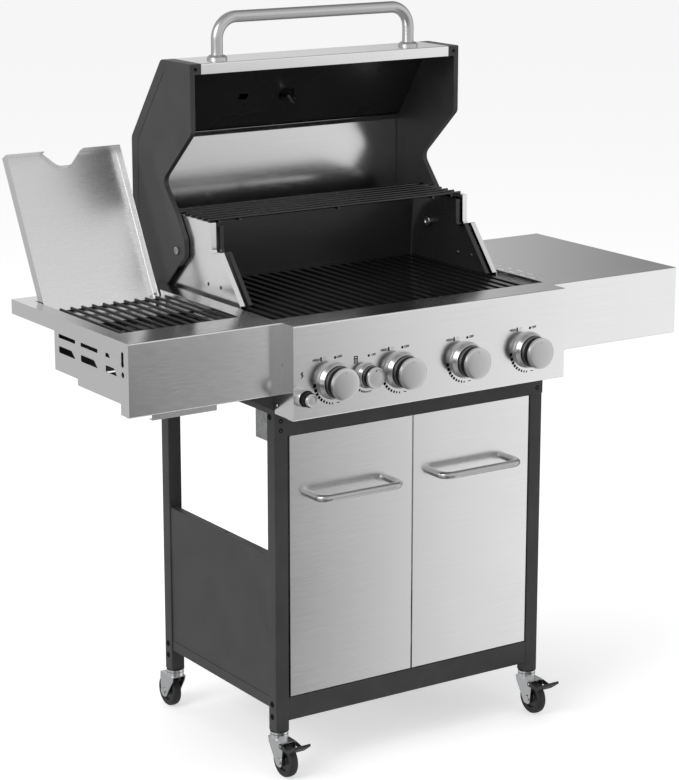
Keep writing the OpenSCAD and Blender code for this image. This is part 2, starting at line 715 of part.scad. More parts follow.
module thermometer() color(zinc) place() thermometer_axis(0) {
    rotate_extrude() polygon(rounded([[0, 0.4, 0], [32, 0.4, 2], [32, 11, 3], [0, 11, 0]], true));
    translate([0, 0, -48]) cylinder(r = 3.4, h = 50);
    // backing washer and wing nut inside the lid
    translate([0, 0, -22.5]) cylinder(r = 14, h = 3);
    translate([0, 0, -30]) cylinder(r = 7, h = 9);
    translate([-15, -1.2, -34]) cube([30, 2.4, 10]);
}

// ---- Doors ----

module door(side) color(steel) place() {
    x0 = side < 0 ? -door_x0 : 1.5;
    x1 = side < 0 ? -1.5 : door_x0;
    difference() {
        box([x0, 0, door_foot], [x1, door_t, door_top]);
        box([x0 + sheet, sheet, door_foot + sheet], [x1 - sheet, door_t + 1, door_top - sheet]);
        rod_z(door_foot - 1, door_top + 1, side * door_pin_x, door_pin_y, door_pin_r + run);
    }
}

module door_handle(side) color(zinc) place()
    translate([side * (door_x0 + 1.5) / 2, 0, door_top - 116]) rotate([90, 0, 0])
    loop_handle(door_grip_w - 14, 37, 7, 19);

// ---- Knobs ----

module knob(x) color(zinc) place() on_panel(x, knob_z) {
    rotate_extrude()
        polygon(rounded([[0, bezel_out + 0.6, 0], [28, bezel_out + 0.6, 0], [28, 18, 0.6], [27, 18.4, 0],
            [27, 25.6, 0], [knob_r, 26, 0.4], [knob_r, knob_out, 2.2], [0, knob_out, 0]], true));
    translate([0, 0, -stem_in]) cylinder(r = stem_r, h = stem_in + 20);
}

module side_burner_knob() color(zinc) place() on_panel(side_knob_x, knob_z) {
    rotate_extrude()
        polygon(rounded([[0, 11.6, 0], [18.6, 11.6, 0], [18.6, 17, 0], [19.4, 17.4, 0.3], [19.4, 25, 2],
            [0, 25, 0]], true));
    translate([0, 0, -stem_in]) cylinder(r = stem_r, h = stem_in + 20);
}

module igniter_button() color(zinc) place() on_panel(igniter_x, igniter_z) {
    rotate_extrude() polygon(rounded([[0, 8, 0], [13.5, 8, 0.6], [13.5, 29, 2], [0, 29, 0]], true));
    translate([0, 0, -22]) cylinder(r = 8.9, h = 42);
}

// ---- Casters ----

// Draws a caster at one leg; the casters at the back trail the other way
module at_leg(side, back) place()
    translate([side * leg_x, back ? stem_y[1] : stem_y[0], 0]) rotate([0, 0, back ? 180 : 0]) children();

module fork(side, back) color(zinc) at_leg(side, back) {
    difference() {
        rod_z(fork_top, leg_foot - 5, 0, 0, 17);
        rod_z(fork_top + 0.5, leg_foot, 0, 0, 5 + run);
    }
    // saddle and cheeks
    box([-fork_half, -33, fork_top - 2], [fork_half, 15, fork_top]);
    both_sides() {
        along_x(fork_half - 2, fork_half)
            polygon(rounded([[15, fork_top, 0], [13, 60, 5], [-13, 21, 8], [-30, 20, 8], [-34, 56, 8],
                [-33, fork_top, 0]], true));
        if (!back) rod_x(fork_half - 1, fork_half + 2.4, pedal_y, pedal_z, pedal_pin_r);
    }
    // axle with its heads
    rod_x(-fork_half - 2, fork_half + 2, -trail, wheel_r, axle_r);
    both_sides() rod_x(fork_half, fork_half + 2.5, -trail, wheel_r, 6.5);
}

module wheel(side, back) color(rubber) at_leg(side, back)
    translate([0, -trail, wheel_r]) rotate([0, 90, 0]) difference() {
        union() {
            rotate_extrude() polygon(rounded([[0, -wheel_w / 2, 0], [24, -wheel_w / 2, 2],
                [wheel_r, -wheel_w / 2 + 2, 4], [wheel_r, wheel_w / 2 - 2, 4], [24, wheel_w / 2, 2],
                [0, wheel_w / 2, 0]], true));
            translate([0, 0, -12.4]) cylinder(r = 9, h = 24.8);
        }
        translate([0, 0, -20]) cylinder(r = axle_r + run, h = 40);
    }

module brake_pedal(side) color(rubber) at_leg(side, false) {
    difference() {
        union() {
            along_x(-fork_half - 2, fork_half + 2)
                polygon(rounded([[-50, 63, 1.5], [-50, 57.5, 1.5], [-57, 57.5, 3], [-80, 74, 1.5], [-80, 80, 1.5],
                    [-60, 66, 6]], true));
            both_sides()
                along_x(fork_half + 0.4, fork_half + 2)
                polygon(rounded([[pedal_y + 5, pedal_z - 5, 4], [pedal_y + 5, pedal_z + 5, 4],
                    [-54, 64, 2], [-54, 57.6, 2]], true));
        }
        rod_x(-30, 30, pedal_y, pedal_z, pedal_pin_r + run);
    }
}

leg(-1, false);  // front_left_leg
leg(1, false);  // front_right_leg
leg(-1, true);  // rear_left_leg
leg(1, true);  // rear_right_leg
front_rails();
side_and_rear_rails();
side_panels();
bottom_shelf();
mounting_brackets();
caster_stems();
control_panel();
knob_bezels();
gas_manifold();
gas_valves();
side_burner_pipe();
firebox();
firebox_side_plates();
main_burners();
flame_tamers();
cooking_grates();
warming_rack();
hinge_pins();
left_table();
left_fascia();
side_burner_box();
side_burner_pan();
side_burner();
side_burner_grate();
right_table();
right_fascia();
lid_skin();
lid_left_end();
lid_right_end();
lid_liner();
lid_back_panel();
lid_handle();
thermometer();
side_lid();
door(-1);  // left_door
door(1);  // right_door
door_handle(-1);  // left_door_handle
door_handle(1);  // right_door_handle
grease_tray();
grease_cup();
knob(knob_x[0]);  // knob_1
knob(knob_x[1]);  // knob_2
knob(knob_x[2]);  // knob_3
knob(knob_x[3]);  // knob_4
side_burner_knob();
igniter_button();
fork(-1, false);  // front_left_fork
fork(1, false);  // front_right_fork
fork(-1, true);  // rear_left_fork
fork(1, true);  // rear_right_fork
wheel(-1, false);  // front_left_wheel
wheel(1, false);  // front_right_wheel
wheel(-1, true);  // rear_left_wheel
wheel(1, true);  // rear_right_wheel
brake_pedal(-1);  // left_brake_pedal
brake_pedal(1);  // right_brake_pedal
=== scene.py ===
"""Visual model of a gas barbecue grill on a cabinet cart, laid out as a Blender add-on.

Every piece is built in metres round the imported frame: X runs left to right, Y front to back, Z up.
"""
import json
import math

import bpy
from mathutils import Matrix, Vector


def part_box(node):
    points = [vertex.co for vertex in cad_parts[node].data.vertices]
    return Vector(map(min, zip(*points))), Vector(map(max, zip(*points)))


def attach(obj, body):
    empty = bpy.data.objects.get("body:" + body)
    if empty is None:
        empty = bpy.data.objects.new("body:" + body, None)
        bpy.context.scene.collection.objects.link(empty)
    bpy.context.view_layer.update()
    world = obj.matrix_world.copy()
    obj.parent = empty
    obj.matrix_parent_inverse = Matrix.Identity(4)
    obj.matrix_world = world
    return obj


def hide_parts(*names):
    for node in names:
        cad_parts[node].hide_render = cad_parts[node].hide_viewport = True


bl_info = {
    "name": "Gas barbecue grill",
    "version": (1, 0, 0),
    "blender": (4, 5, 0),
    "location": "View3D > Sidebar > Grill",
    "description": "Builds the visual model of a gas barbecue grill round its packed frame",
    "category": "Object",
}

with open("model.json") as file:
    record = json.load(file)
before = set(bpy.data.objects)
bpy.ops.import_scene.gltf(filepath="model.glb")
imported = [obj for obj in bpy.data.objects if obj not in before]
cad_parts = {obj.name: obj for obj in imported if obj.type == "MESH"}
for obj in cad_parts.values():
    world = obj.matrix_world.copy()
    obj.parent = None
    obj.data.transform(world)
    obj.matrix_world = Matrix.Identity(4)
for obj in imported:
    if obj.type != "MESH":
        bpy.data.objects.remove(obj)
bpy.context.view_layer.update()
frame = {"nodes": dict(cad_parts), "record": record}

MM = 0.001
BODY = {node: body for body, nodes in frame["record"]["behaviour"]["bodies"].items() for node in nodes}

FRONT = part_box("front_left_leg")[0].y       # front face of the legs
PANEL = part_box("control_panel")[0].y        # front face of the control panel
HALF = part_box("front_right_leg")[1].x       # half of the cart's width

MAIN_KNOBS = ("knob_1", "knob_2", "knob_3", "knob_4")
WHEELS = ("front_left", "front_right", "rear_left", "rear_right")

SHEET = 1.2             # thickness of the folded sheets, in mm
SIDE_LID_OPEN = 2.0595  # turn of the side lid from shut to rest, in radians

LEFT, RIGHT = Vector((-1, 0, 0)), Vector((1, 0, 0))
FORWARD, BACKWARD = Vector((0, -1, 0)), Vector((0, 1, 0))
UP = Vector((0, 0, 1))


def at(x, y, z):
    """A point from millimetres: x from the middle, y behind the legs' front face, z above the floor."""
    return Vector((x * MM, y * MM + FRONT, z * MM))


# the open lid's sloping back at the thermometer, +Z outwards
THERMOMETER_TILT = Matrix.Translation(at(0, 445.6, 1199.0)) @ Matrix.Rotation(math.radians(-53), 4, "X")


def middle(node):
    """Centre of a node's box."""
    low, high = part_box(node)
    return (low + high) / 2


# ---- Sizes and colours a user may change ----


def length(name, text, default):
    return bpy.props.FloatProperty(
        name=name, description=text, default=default, min=0.0, unit="LENGTH", precision=5)


def tint(name, text, default):
    return bpy.props.FloatVectorProperty(
        name=name, description=text, default=default, min=0.0, max=1.0, size=3, subtype="COLOR")


class GrillSizes(bpy.types.PropertyGroup):
    sheet_edge: length("Sheet edge", "Rounding of the folded sheets' cut edges", 0.00045)
    tube_edge: length("Tube edge", "Rounding of the cart's square tubes", 0.0016)
    grate_edge: length("Grate edge", "Rounding of the cooking grates' bars", 0.0008)
    cap_rim: length("Knob rim", "Rounding of a knob cap's rim", 0.0013)
    speck: bpy.props.FloatProperty(
        name="Speck", description="Area of faces that a rounding may spoil unseen", default=1e-6, min=0.0,
        unit="AREA", precision=7)
    bolt_radius: length("Bolt head", "Radius of a bolt's domed head", 0.0052)
    bolt_height: length("Bolt height", "Height of a bolt's domed head", 0.0022)
    mark_height: length("Mark height", "Thickness of the printed marks", 0.00008)
    mark_radius: length("Mark radius", "Radius of the dashes round a main knob", 0.041)


class GrillColours(bpy.types.PropertyGroup):
    steel: tint("Steel", "Brushed stainless sheet", (0.86, 0.86, 0.86))
    paint: tint("Paint", "Powder coat of the cart", (0.052, 0.052, 0.053))
    enamel: tint("Enamel", "Porcelain enamel of the firebox and the grates", (0.026, 0.026, 0.027))
    zinc: tint("Zinc", "Plated casters and small hardware", (0.66, 0.67, 0.68))
    galvanised: tint("Galvanised", "Galvanised brackets, trays and pipes", (0.40, 0.405, 0.41))
    burner: tint("Burner steel", "Heat-dulled steel of the burners", (0.36, 0.33, 0.29))
    brass: tint("Brass", "Machined gas valves", (0.55, 0.42, 0.20))
    plastic: tint("Plastic", "Black knob skirts, hubs and pedals", (0.018, 0.018, 0.019))
    rubber: tint("Rubber", "Tread of the casters", (0.022, 0.022, 0.023))
    ink: tint("Ink", "Printed marks", (0.004, 0.004, 0.004))
    dial: tint("Dial", "Face of the thermometer", (0.80, 0.80, 0.78))


def sizes():
    return bpy.context.scene.grill_sizes


def colours():
    return bpy.context.scene.grill_colours


# ---- Finishes ----


class Recipe:
    """The nodes of a material, or of the world, under construction."""

    def __init__(self, owner):
        self.owner = owner
        owner.use_nodes = True
        self.tree = owner.node_tree
        self.tree.nodes.clear()

    @classmethod
    def named(cls, name):
        """A new material, whose patterns lie on Object coordinates."""
        recipe = cls(bpy.data.materials.new(name))
        recipe.ground = recipe.add("TexCoord").outputs["Object"]
        return recipe

    def add(self, kind, sockets=None, **settings):
        node = self.tree.nodes.new("ShaderNode" + kind)
        for key, value in settings.items():
            setattr(node, key, value)
        for key, value in (sockets or {}).items():
            socket = node.inputs[key]
            if isinstance(value, bpy.types.NodeSocket):
                self.tree.links.new(value, socket)
            else:
                socket.default_value = (*value[:3], 1.0) if socket.type == "RGBA" else value
        return node

    def stretched(self, scale):
        return self.add("Mapping", {"Vector": self.ground, "Scale": scale}).outputs["Vector"]

    def noise(self, scale, detail=2.0, where=None, rough=0.5):
        return self.add("TexNoise", {"Vector": where or self.ground, "Scale": scale, "Detail": detail,
                                     "Roughness": rough}).outputs["Fac"]

    def span(self, value, low, high, start=0.3, end=0.7):
        return self.add("MapRange", {"Value": value, "From Min": start, "From Max": end, "To Min": low,
                                     "To Max": high}).outputs["Result"]

    def mixed(self, share, first, second):
        """The first colour, and the second where the share is 1."""
        return self.add("Mix", {"Factor": share, 6: first, 7: second}, data_type="RGBA").outputs[2]

    def bump(self, height, depth, strength):
        return self.add("Bump", {"Height": height, "Distance": depth, "Strength": strength}).outputs["Normal"]

    def math(self, operation, *values):
        return self.add("Math", dict(enumerate(values)), operation=operation).outputs["Value"]

    def plus(self, first, second, gain=1.0):
        return self.math("MULTIPLY_ADD", second, gain, first)

    def blended(self, share, first, second):
        """The first shader, and the second where the share is 1."""
        return self.add("MixShader", {"Fac": share, 1: first, 2: second}).outputs[0]

    def finish(self, **sockets):
        """Closes the material with the main shader. A socket's name has _ for each space."""
        spaced = {key.replace("_", " "): value for key, value in sockets.items()}
        self.add("OutputMaterial", {"Surface": self.add("BsdfPrincipled", spaced).outputs["BSDF"]})
        return self.owner


def shaded(colour, factor):
    return tuple(min(1.0, channel * factor) for channel in colour)


def brushed(name, colour, roughness, axis):
    """Sheet metal brushed along one axis (0, 1 or 2), with faint clouds of wear."""
    recipe = Recipe.named(name)
    fine = [2600.0, 2600.0, 2600.0]
    fine[axis] = 40.0
    broad = [420.0, 420.0, 420.0]
    broad[axis] = 6.0
    streaks = recipe.noise(1.0, 2.0, recipe.stretched(fine), 0.6)
    bands = recipe.noise(1.0, 3.0, recipe.stretched(broad), 0.6)
    clouds = recipe.noise(4.0, 3.0)
    tone = recipe.plus(streaks, bands, 0.8)
    base = recipe.mixed(recipe.span(tone, 0.0, 1.0, 0.55, 1.25), shaded(colour, 0.955), shaded(colour, 1.03))
    rough = recipe.plus(recipe.span(clouds, roughness - 0.015, roughness + 0.025),
                        recipe.span(streaks, -0.03, 0.03))
    return recipe.finish(Base_Color=base, Metallic=1.0, Roughness=rough,
                         Normal=recipe.bump(streaks, 0.000012, 0.35))


def painted(name, colour, roughness):
    """Powder coat with a fine orange peel and slight dust in the hollows of the grain."""
    recipe = Recipe.named(name)
    peel = recipe.noise(900.0, 3.0)
    patches = recipe.noise(14.0, 4.0)
    base = recipe.mixed(recipe.span(patches, 0.0, 1.0), shaded(colour, 0.86), shaded(colour, 1.22))
    base = recipe.mixed(recipe.span(peel, 0.0, 0.22, 0.5, 0.8), base, shaded(colour, 2.4))
    rough = recipe.span(patches, roughness - 0.05, roughness + 0.07)
    return recipe.finish(Base_Color=base, Metallic=0.0, Roughness=rough,
                         Normal=recipe.bump(peel, 0.00022, 0.55), Specular_IOR_Level=0.3)


def enamelled(name, colour, roughness):
    """Glossy porcelain enamel with a fine pitted skin and a breath of grease."""
    recipe = Recipe.named(name)
    skin = recipe.noise(900.0, 2.0)
    film = recipe.noise(7.0, 2.0)
    base = recipe.mixed(recipe.span(film, 0.0, 1.0, 0.1, 0.9), shaded(colour, 0.85), shaded(colour, 1.2))
    rough = recipe.span(film, roughness - 0.02, roughness + 0.03, 0.1, 0.9)
    return recipe.finish(Base_Color=base, Roughness=rough, Normal=recipe.bump(skin, 0.00003, 0.3))


def spangled(name, colour):
    """Galvanised sheet: flakes of slightly different greys."""
    recipe = Recipe.named(name)
    flakes = recipe.add("TexVoronoi", {"Vector": recipe.ground, "Scale": 130.0})
    grey = recipe.add("SeparateColor", {"Color": flakes.outputs["Color"]}).outputs["Red"]
    dull = recipe.noise(9.0, 4.0)
    base = recipe.mixed(recipe.span(grey, 0.0, 1.0, 0.0, 1.0), shaded(colour, 0.78), shaded(colour, 1.2))
    base = recipe.mixed(recipe.span(dull, 0.0, 0.35), base, shaded(colour, 0.6))
    rough = recipe.span(grey, 0.34, 0.52, 0.0, 1.0)
    return recipe.finish(Base_Color=base, Metallic=1.0, Roughness=rough,
                         Normal=recipe.bump(recipe.noise(300.0, 3.0), 0.00012, 0.4))


def metal(name, colour, roughness, stain=0.12, stained=(0.30, 0.29, 0.28)):
    """Plain metal with fine scratches and a light stain."""
    recipe = Recipe.named(name)
    scratches = recipe.noise(1.0, 2.0, recipe.stretched((2400.0, 3000.0, 2400.0)), 0.6)
    clouds = recipe.noise(9.0, 2.0)
    base = recipe.mixed(recipe.span(scratches, 0.0, 1.0), shaded(colour, 0.95), shaded(colour, 1.04))
    base = recipe.mixed(recipe.span(clouds, 0.0, stain, 0.2, 0.9), base, stained)
    rough = recipe.span(clouds, roughness - 0.01, roughness + 0.03, 0.1, 0.9)
    return recipe.finish(Base_Color=base, Metallic=1.0, Roughness=rough,
                         Normal=recipe.bump(scratches, 0.00001, 0.3))


def moulded(name, colour, roughness, grain=700.0, shine=0.5):
    """Moulded plastic, rubber or ink with a fine grain and a breath of dust."""
    recipe = Recipe.named(name)
    skin = recipe.noise(grain, 2.0)
    dust = recipe.noise(38.0, 3.0)
    base = recipe.mixed(recipe.span(dust, 0.0, 0.4, 0.45, 0.8), colour, shaded(colour, 2.0))
    rough = recipe.span(dust, roughness - 0.03, roughness + 0.06)
    return recipe.finish(Base_Color=base, Roughness=rough, Specular_IOR_Level=shine,
                         Normal=recipe.bump(skin, 0.0001, 0.4))


def clear_glass(name):
    recipe = Recipe.named(name)
    smears = recipe.noise(60.0, 4.0)
    return recipe.finish(Base_Color=(1.0, 1.0, 1.0), Roughness=recipe.span(smears, 0.0, 0.05),
                         Transmission_Weight=1.0, IOR=1.2)


FINISHES = {
    "steel_x": lambda: brushed("Steel brushed across", colours().steel, 0.18, 0),
    "steel_y": lambda: brushed("Steel brushed in depth", colours().steel, 0.20, 1),
    "steel_lid": lambda: brushed("Side lid steel", shaded(colours().steel, 0.95), 0.29, 0),
    "paint": lambda: painted("Dark powder coat", colours().paint, 0.42),
    "enamel": lambda: enamelled("Black enamel", colours().enamel, 0.27),
    "grate": lambda: enamelled("Glossy grate enamel", shaded(colours().enamel, 0.45), 0.17),
    "gloss": lambda: moulded("Glossy black fitting", shaded(colours().plastic, 0.4), 0.16, 900.0),
    "galvanised": lambda: spangled("Galvanised sheet", colours().galvanised),
    "zinc": lambda: metal("Zinc plate", colours().zinc, 0.26),
    "burner": lambda: metal("Burner steel", colours().burner, 0.42, 0.55, (0.12, 0.08, 0.055)),
    # the warming rack is chrome-plated; this dark colour paints the black firebox that its chrome mirrors, a
    # painted reflection
    "wire": lambda: metal("Dark wire", (0.075, 0.075, 0.075), 0.26, 0.1, (0.03, 0.03, 0.03)),
    "satin": lambda: metal("Satin tube", (0.48, 0.48, 0.48), 0.25, 0.04),
    "grip": lambda: metal("Bright satin tube", (0.57, 0.57, 0.57), 0.33, 0.04),
    "chrome": lambda: metal("Polished rim", (0.72, 0.72, 0.72), 0.10, 0.05),
    "cap": lambda: metal("Silver knob cap", (0.59, 0.59, 0.595), 0.28, 0.03),
    "collar": lambda: metal("Grey knob collar", (0.22, 0.22, 0.225), 0.42, 0.1),
    "bezel": lambda: metal("Satin bezel", (0.55, 0.55, 0.555), 0.29, 0.04),
    "brass": lambda: metal("Machined brass", colours().brass, 0.30, 0.2, (0.25, 0.17, 0.08)),
    "plastic": lambda: moulded("Black plastic", colours().plastic, 0.36),
    "skirt": lambda: moulded("Matt black skirt", shaded(colours().plastic, 0.4), 0.5, 900.0, 0.12),
    "rubber": lambda: moulded("Rubber tread", colours().rubber, 0.62, 1100.0),
    "ink": lambda: moulded("Printed ink", colours().ink, 0.7, 2000.0, 0.05),
    "dial": lambda: moulded("Dial face", colours().dial, 0.5, 1500.0),
    "glass": lambda: clear_glass("Dial glass"),
}


def finish(key):
    """The material of that finish, made when it is first asked for."""
    name = "grill_" + key
    if name not in bpy.data.materials:
        FINISHES[key]().name = name
    return bpy.data.materials[name]


# ---- Shaping by hand ----


def clear():
    if bpy.context.mode != "OBJECT":
        bpy.ops.object.mode_set(mode="OBJECT")
    bpy.ops.object.select_all(action="DESELECT")


def pick(*pieces):
    clear()
    for piece in pieces:
        piece.select_set(True)
    bpy.context.view_layer.objects.active = pieces[0]


def edit(piece):
    pick(piece)
    bpy.ops.object.mode_set(mode="EDIT")
    bpy.ops.mesh.select_all(action="SELECT")


def set_place(piece):
    """Puts the object's place, turn and scale into its mesh."""
    pick(piece)
    bpy.ops.object.transform_apply(location=True, rotation=True, scale=True)
    return piece


def modified(piece, kind, **settings):
    pick(piece)
    bpy.ops.object.modifier_add(type=kind)
    modifier = piece.modifiers[-1]
    for key, value in settings.items():
        setattr(modifier, key, value)
    bpy.ops.object.modifier_apply(modifier=modifier.name)
    return piece


def softened(piece, width, segments=2, angle=30.0, clamp=True):
    return modified(piece, "BEVEL", width=width, segments=segments, limit_method="ANGLE",
                    angle_limit=math.radians(angle), use_clamp_overlap=clamp)


def turned(profile, sides=48, ring=False):
    """A turned solid about +Z. The profile is (radius, height) in mm; a ring's profile closes on itself."""
    clear()
    bpy.ops.mesh.primitive_circle_add(vertices=sides, radius=profile[0][0] * MM,
                                      fill_type="NOTHING" if ring else "NGON")
    piece = bpy.context.object
    edit(piece)
    bpy.ops.transform.translate(value=(0, 0, profile[0][1] * MM))
    stops = list(profile) + ([profile[0]] if ring else [])
    for (r0, z0), (r1, z1) in zip(stops, stops[1:]):
        bpy.ops.mesh.extrude_region_move(TRANSFORM_OT_translate={"value": (0, 0, (z1 - z0) * MM)})
        bpy.ops.transform.resize(value=(r1 / r0, r1 / r0, 1))
    bpy.ops.mesh.select_all(action="SELECT")
    bpy.ops.mesh.remove_doubles(threshold=1e-6)
    bpy.ops.mesh.normals_make_consistent(inside=False)
    bpy.ops.object.mode_set(mode="OBJECT")
    return piece


def slab(low, high, edge=0.0004, segments=2):
    """A block between two corners, in metres, with softened edges."""
    clear()
    size = [b - a for a, b in zip(low, high)]
    bpy.ops.mesh.primitive_cube_add(size=1, location=[(a + b) / 2 for a, b in zip(low, high)], scale=size)
    piece = set_place(bpy.context.object)
    return softened(piece, edge, segments) if edge else piece


def copied(piece):
    twin = piece.copy()
    twin.data = piece.data.copy()
    bpy.context.scene.collection.objects.link(twin)
    return twin


def pointed(piece, place, direction=UP):
    """Moves a piece made about the origin to its place, its +Z turned to that direction."""
    turn = direction.to_track_quat("Z", "Y").to_matrix().to_4x4()
    piece.matrix_world = Matrix.Translation(place) @ turn
    return set_place(piece)


def on_panel(piece, node, up=0.0, out=0.0):
    """Stands a piece made flat in X and Y, +Z towards the user, on the panel's face about a knob's middle."""
    place = middle(node)
    piece.matrix_world = (Matrix.Translation((place.x, PANEL - out * MM, place.z + up * MM))
                          @ Matrix.Rotation(math.pi / 2, 4, "X"))
    return set_place(piece)


def joined(pieces):
    pick(*pieces)
    if len(pieces) > 1:
        bpy.ops.object.join()
    return bpy.context.object


def dropped(*pieces):
    for piece in pieces:
        bpy.data.objects.remove(piece)


def cut(piece, *cutters):
    """Takes the cutters' shapes out of a piece."""
    for cutter in cutters:
        modified(piece, "BOOLEAN", object=cutter, operation="DIFFERENCE", solver="EXACT")
        dropped(cutter)
    return piece


def parted(piece, belongs):
    """Parts the faces whose middle passes the test from a piece, as a new piece."""
    edit(piece)
    bpy.ops.mesh.select_all(action="DESELECT")
    bpy.ops.object.mode_set(mode="OBJECT")
    for polygon in piece.data.polygons:
        polygon.select = belongs(polygon.center)
    bpy.ops.object.mode_set(mode="EDIT")
    bpy.ops.mesh.separate(type="SELECTED")
    bpy.ops.object.mode_set(mode="OBJECT")
    return next(other for other in bpy.context.selected_objects if other is not piece)


def settled(piece, name, node, coat, stands_for=(), smooth=35.0, slot=None):
    """Names and coats a piece, and hangs it on the body that the node has. The slot is not used."""
    pick(piece)
    bpy.ops.object.shade_smooth_by_angle(angle=math.radians(smooth))
    piece.name = name
    piece.data.name = name
    piece.data.materials.clear()
    piece.data.materials.append(finish(coat))
    for polygon in piece.data.polygons:
        polygon.material_index = 0
    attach(piece, BODY[node])
    if stands_for:
        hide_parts(*stands_for)
    return piece


def merged_copy(node, whole=True):
    """A copy of a CAD node's mesh with its loose triangles joined, and merged into whole faces if asked."""
    source = frame["nodes"][node]
    piece = bpy.data.objects.new(node + "_shell", source.data.copy())
    bpy.context.scene.collection.objects.link(piece)
    edit(piece)
    bpy.ops.mesh.remove_doubles(threshold=2e-6)
    if whole:
        bpy.ops.mesh.dissolve_limited(angle_limit=math.radians(0.4))
    bpy.ops.object.mode_set(mode="OBJECT")
    return piece


def is_sound(piece):
    """Whether the faces split into triangles that look the way they do, but for specks."""
    mesh = piece.data
    mesh.calc_loop_triangles()
    turned_over = 0.0
    for triangle in mesh.loop_triangles:
        a, b, c = (mesh.vertices[i].co for i in triangle.vertices)
        cross = (b - a).cross(c - a)
        if cross.dot(mesh.polygons[triangle.polygon_index].normal) < 0:
            turned_over += cross.length / 2
    return turned_over < sizes().speck


def rounded_copy(node, edge, reshape=None):
    """A merged copy of a CAD node with the widest rounding, up to that edge, that its small faces bear."""
    for share in (1.0, 0.7, 0.5, 0.3, 0.0) if edge else (0.0,):
        piece = merged_copy(node)
        if reshape:
            piece = reshape(piece)
        if share:
            softened(piece, edge * share, 2, 50.0, False)
        if is_sound(piece):
            return piece
        dropped(piece)
    piece = merged_copy(node, False)
    return reshape(piece) if reshape else piece


def dressed(node, coat, edge=0.0, reshape=None):
    """A merged, softened and smoothly shaded copy that stands for a CAD node."""
    piece = rounded_copy(node, edge, reshape)
    settled(piece, node + "_shell", node, coat, [node], 32.0)
    modified(piece, "WEIGHTED_NORMAL", keep_sharp=True, weight=50)
    return piece


# ---- Pieces ----


class GRILL_OT_shells(bpy.types.Operator):
    """Dresses the folded sheets, tubes and castings of the cart, the firebox and the lids"""
    bl_idname = "grill.shells"
    bl_label = "Sheets and tubes"

    def execute(self, context):
        sheet, tube = sizes().sheet_edge, sizes().tube_edge
        for coat, edge, nodes in (
                ("paint", tube, "front_left_leg front_right_leg rear_left_leg rear_right_leg"),
                ("paint", sheet, "front_rails side_and_rear_rails side_panels bottom_shelf"),
                ("paint", sheet, "lid_left_end lid_right_end"),
                ("steel_x", sheet, "control_panel right_fascia left_table right_table lid_skin"),
                ("steel_x", sheet, "lid_back_panel left_door right_door"),
                ("steel_y", sheet, "firebox_side_plates side_burner_pan"),
                ("enamel", sheet, "firebox"),
                ("galvanised", sheet, "grease_tray grease_cup"),
                ("galvanised", 0.0, "gas_manifold side_burner_pipe hinge_pins"),
                ("zinc", 0.0, "caster_stems"),
                ("burner", 0.0, "main_burners"),
                ("burner", sheet, "flame_tamers"),
                ("grip", 0.0, "lid_handle"),
                ("satin", 0.0, "left_door_handle right_door_handle"),
                ("brass", 0.0, "gas_valves")):
            for node in nodes.split():
                dressed(node, coat, edge)
        dressed("left_fascia", "steel_x", sheet, reshape=self.keyhole)
        dressed("lid_liner", "enamel", sheet, reshape=self.slot)
        dressed("side_lid", "steel_lid", sheet, reshape=self.notched_lid)
        angles = dressed("mounting_brackets", "galvanised", sheet)
        gussets = parted(angles, lambda centre: abs(centre.x) > HALF - 0.1 * MM)
        settled(gussets, "mounting_gussets", "mounting_brackets", "paint", slot="black_paint")
        return {"FINISHED"}

    def keyhole(self, fascia):
        """Widens the keyhole in the left fascia's return, by which it hangs on its screws."""
        return cut(fascia, slab(at(-612, -9.6, 815), at(-597, -1.4, 839), 3.6 * MM, 4))

    def notched_lid(self, lid):
        """Presses the side lid anew as a tray, with a wide notch whose edge is turned down.

        It is made shut and then turned open about its pin.
        """
        dropped(lid)
        lid = slab(at(-573, 59, 836), at(-338, 360, 856), 0)
        hollow = slab(at(-573 + SHEET, 59 + SHEET, 820), at(-338 - SHEET, 370, 856 - SHEET), 0)
        cut(lid, hollow, self.notch(0))
        edge, band = self.notch(SHEET), slab(at(-520, 59, 847), at(-390, 100, 855.4), 0)
        modified(edge, "BOOLEAN", object=band, operation="INTERSECT", solver="EXACT")
        dropped(band)
        lid = joined([lid, cut(edge, self.notch(0))])
        pin = at(0, 352.5, 846)
        opened = Matrix.Rotation(-SIDE_LID_OPEN, 4, "X")
        lid.matrix_world = Matrix.Translation(pin) @ opened @ Matrix.Translation(-pin)
        return set_place(lid)

    def notch(self, grown):
        """The notch in the side lid's front edge, wide outside and narrow inside, grown by some mm."""
        notch = slab(at(-509.25 - grown, 45, 800), at(-401.75 + grown, 86 + grown, 890), 0)
        centre = at(-455.5, 80, 0)
        for vertex in notch.data.vertices:
            if vertex.co.y > centre.y:
                vertex.co.x += math.copysign(40 * MM, centre.x - vertex.co.x)
        return softened(notch, (9 + grown) * MM, 5, 20.0)

    def slot(self, liner):
        """Opens the hand slot beside the thermometer."""
        cutter = slab((-0.107, -0.007, -0.03), (-0.087, 0.007, 0.01), 0.0015)
        cutter.matrix_world = THERMOMETER_TILT
        return cut(liner, set_place(cutter))


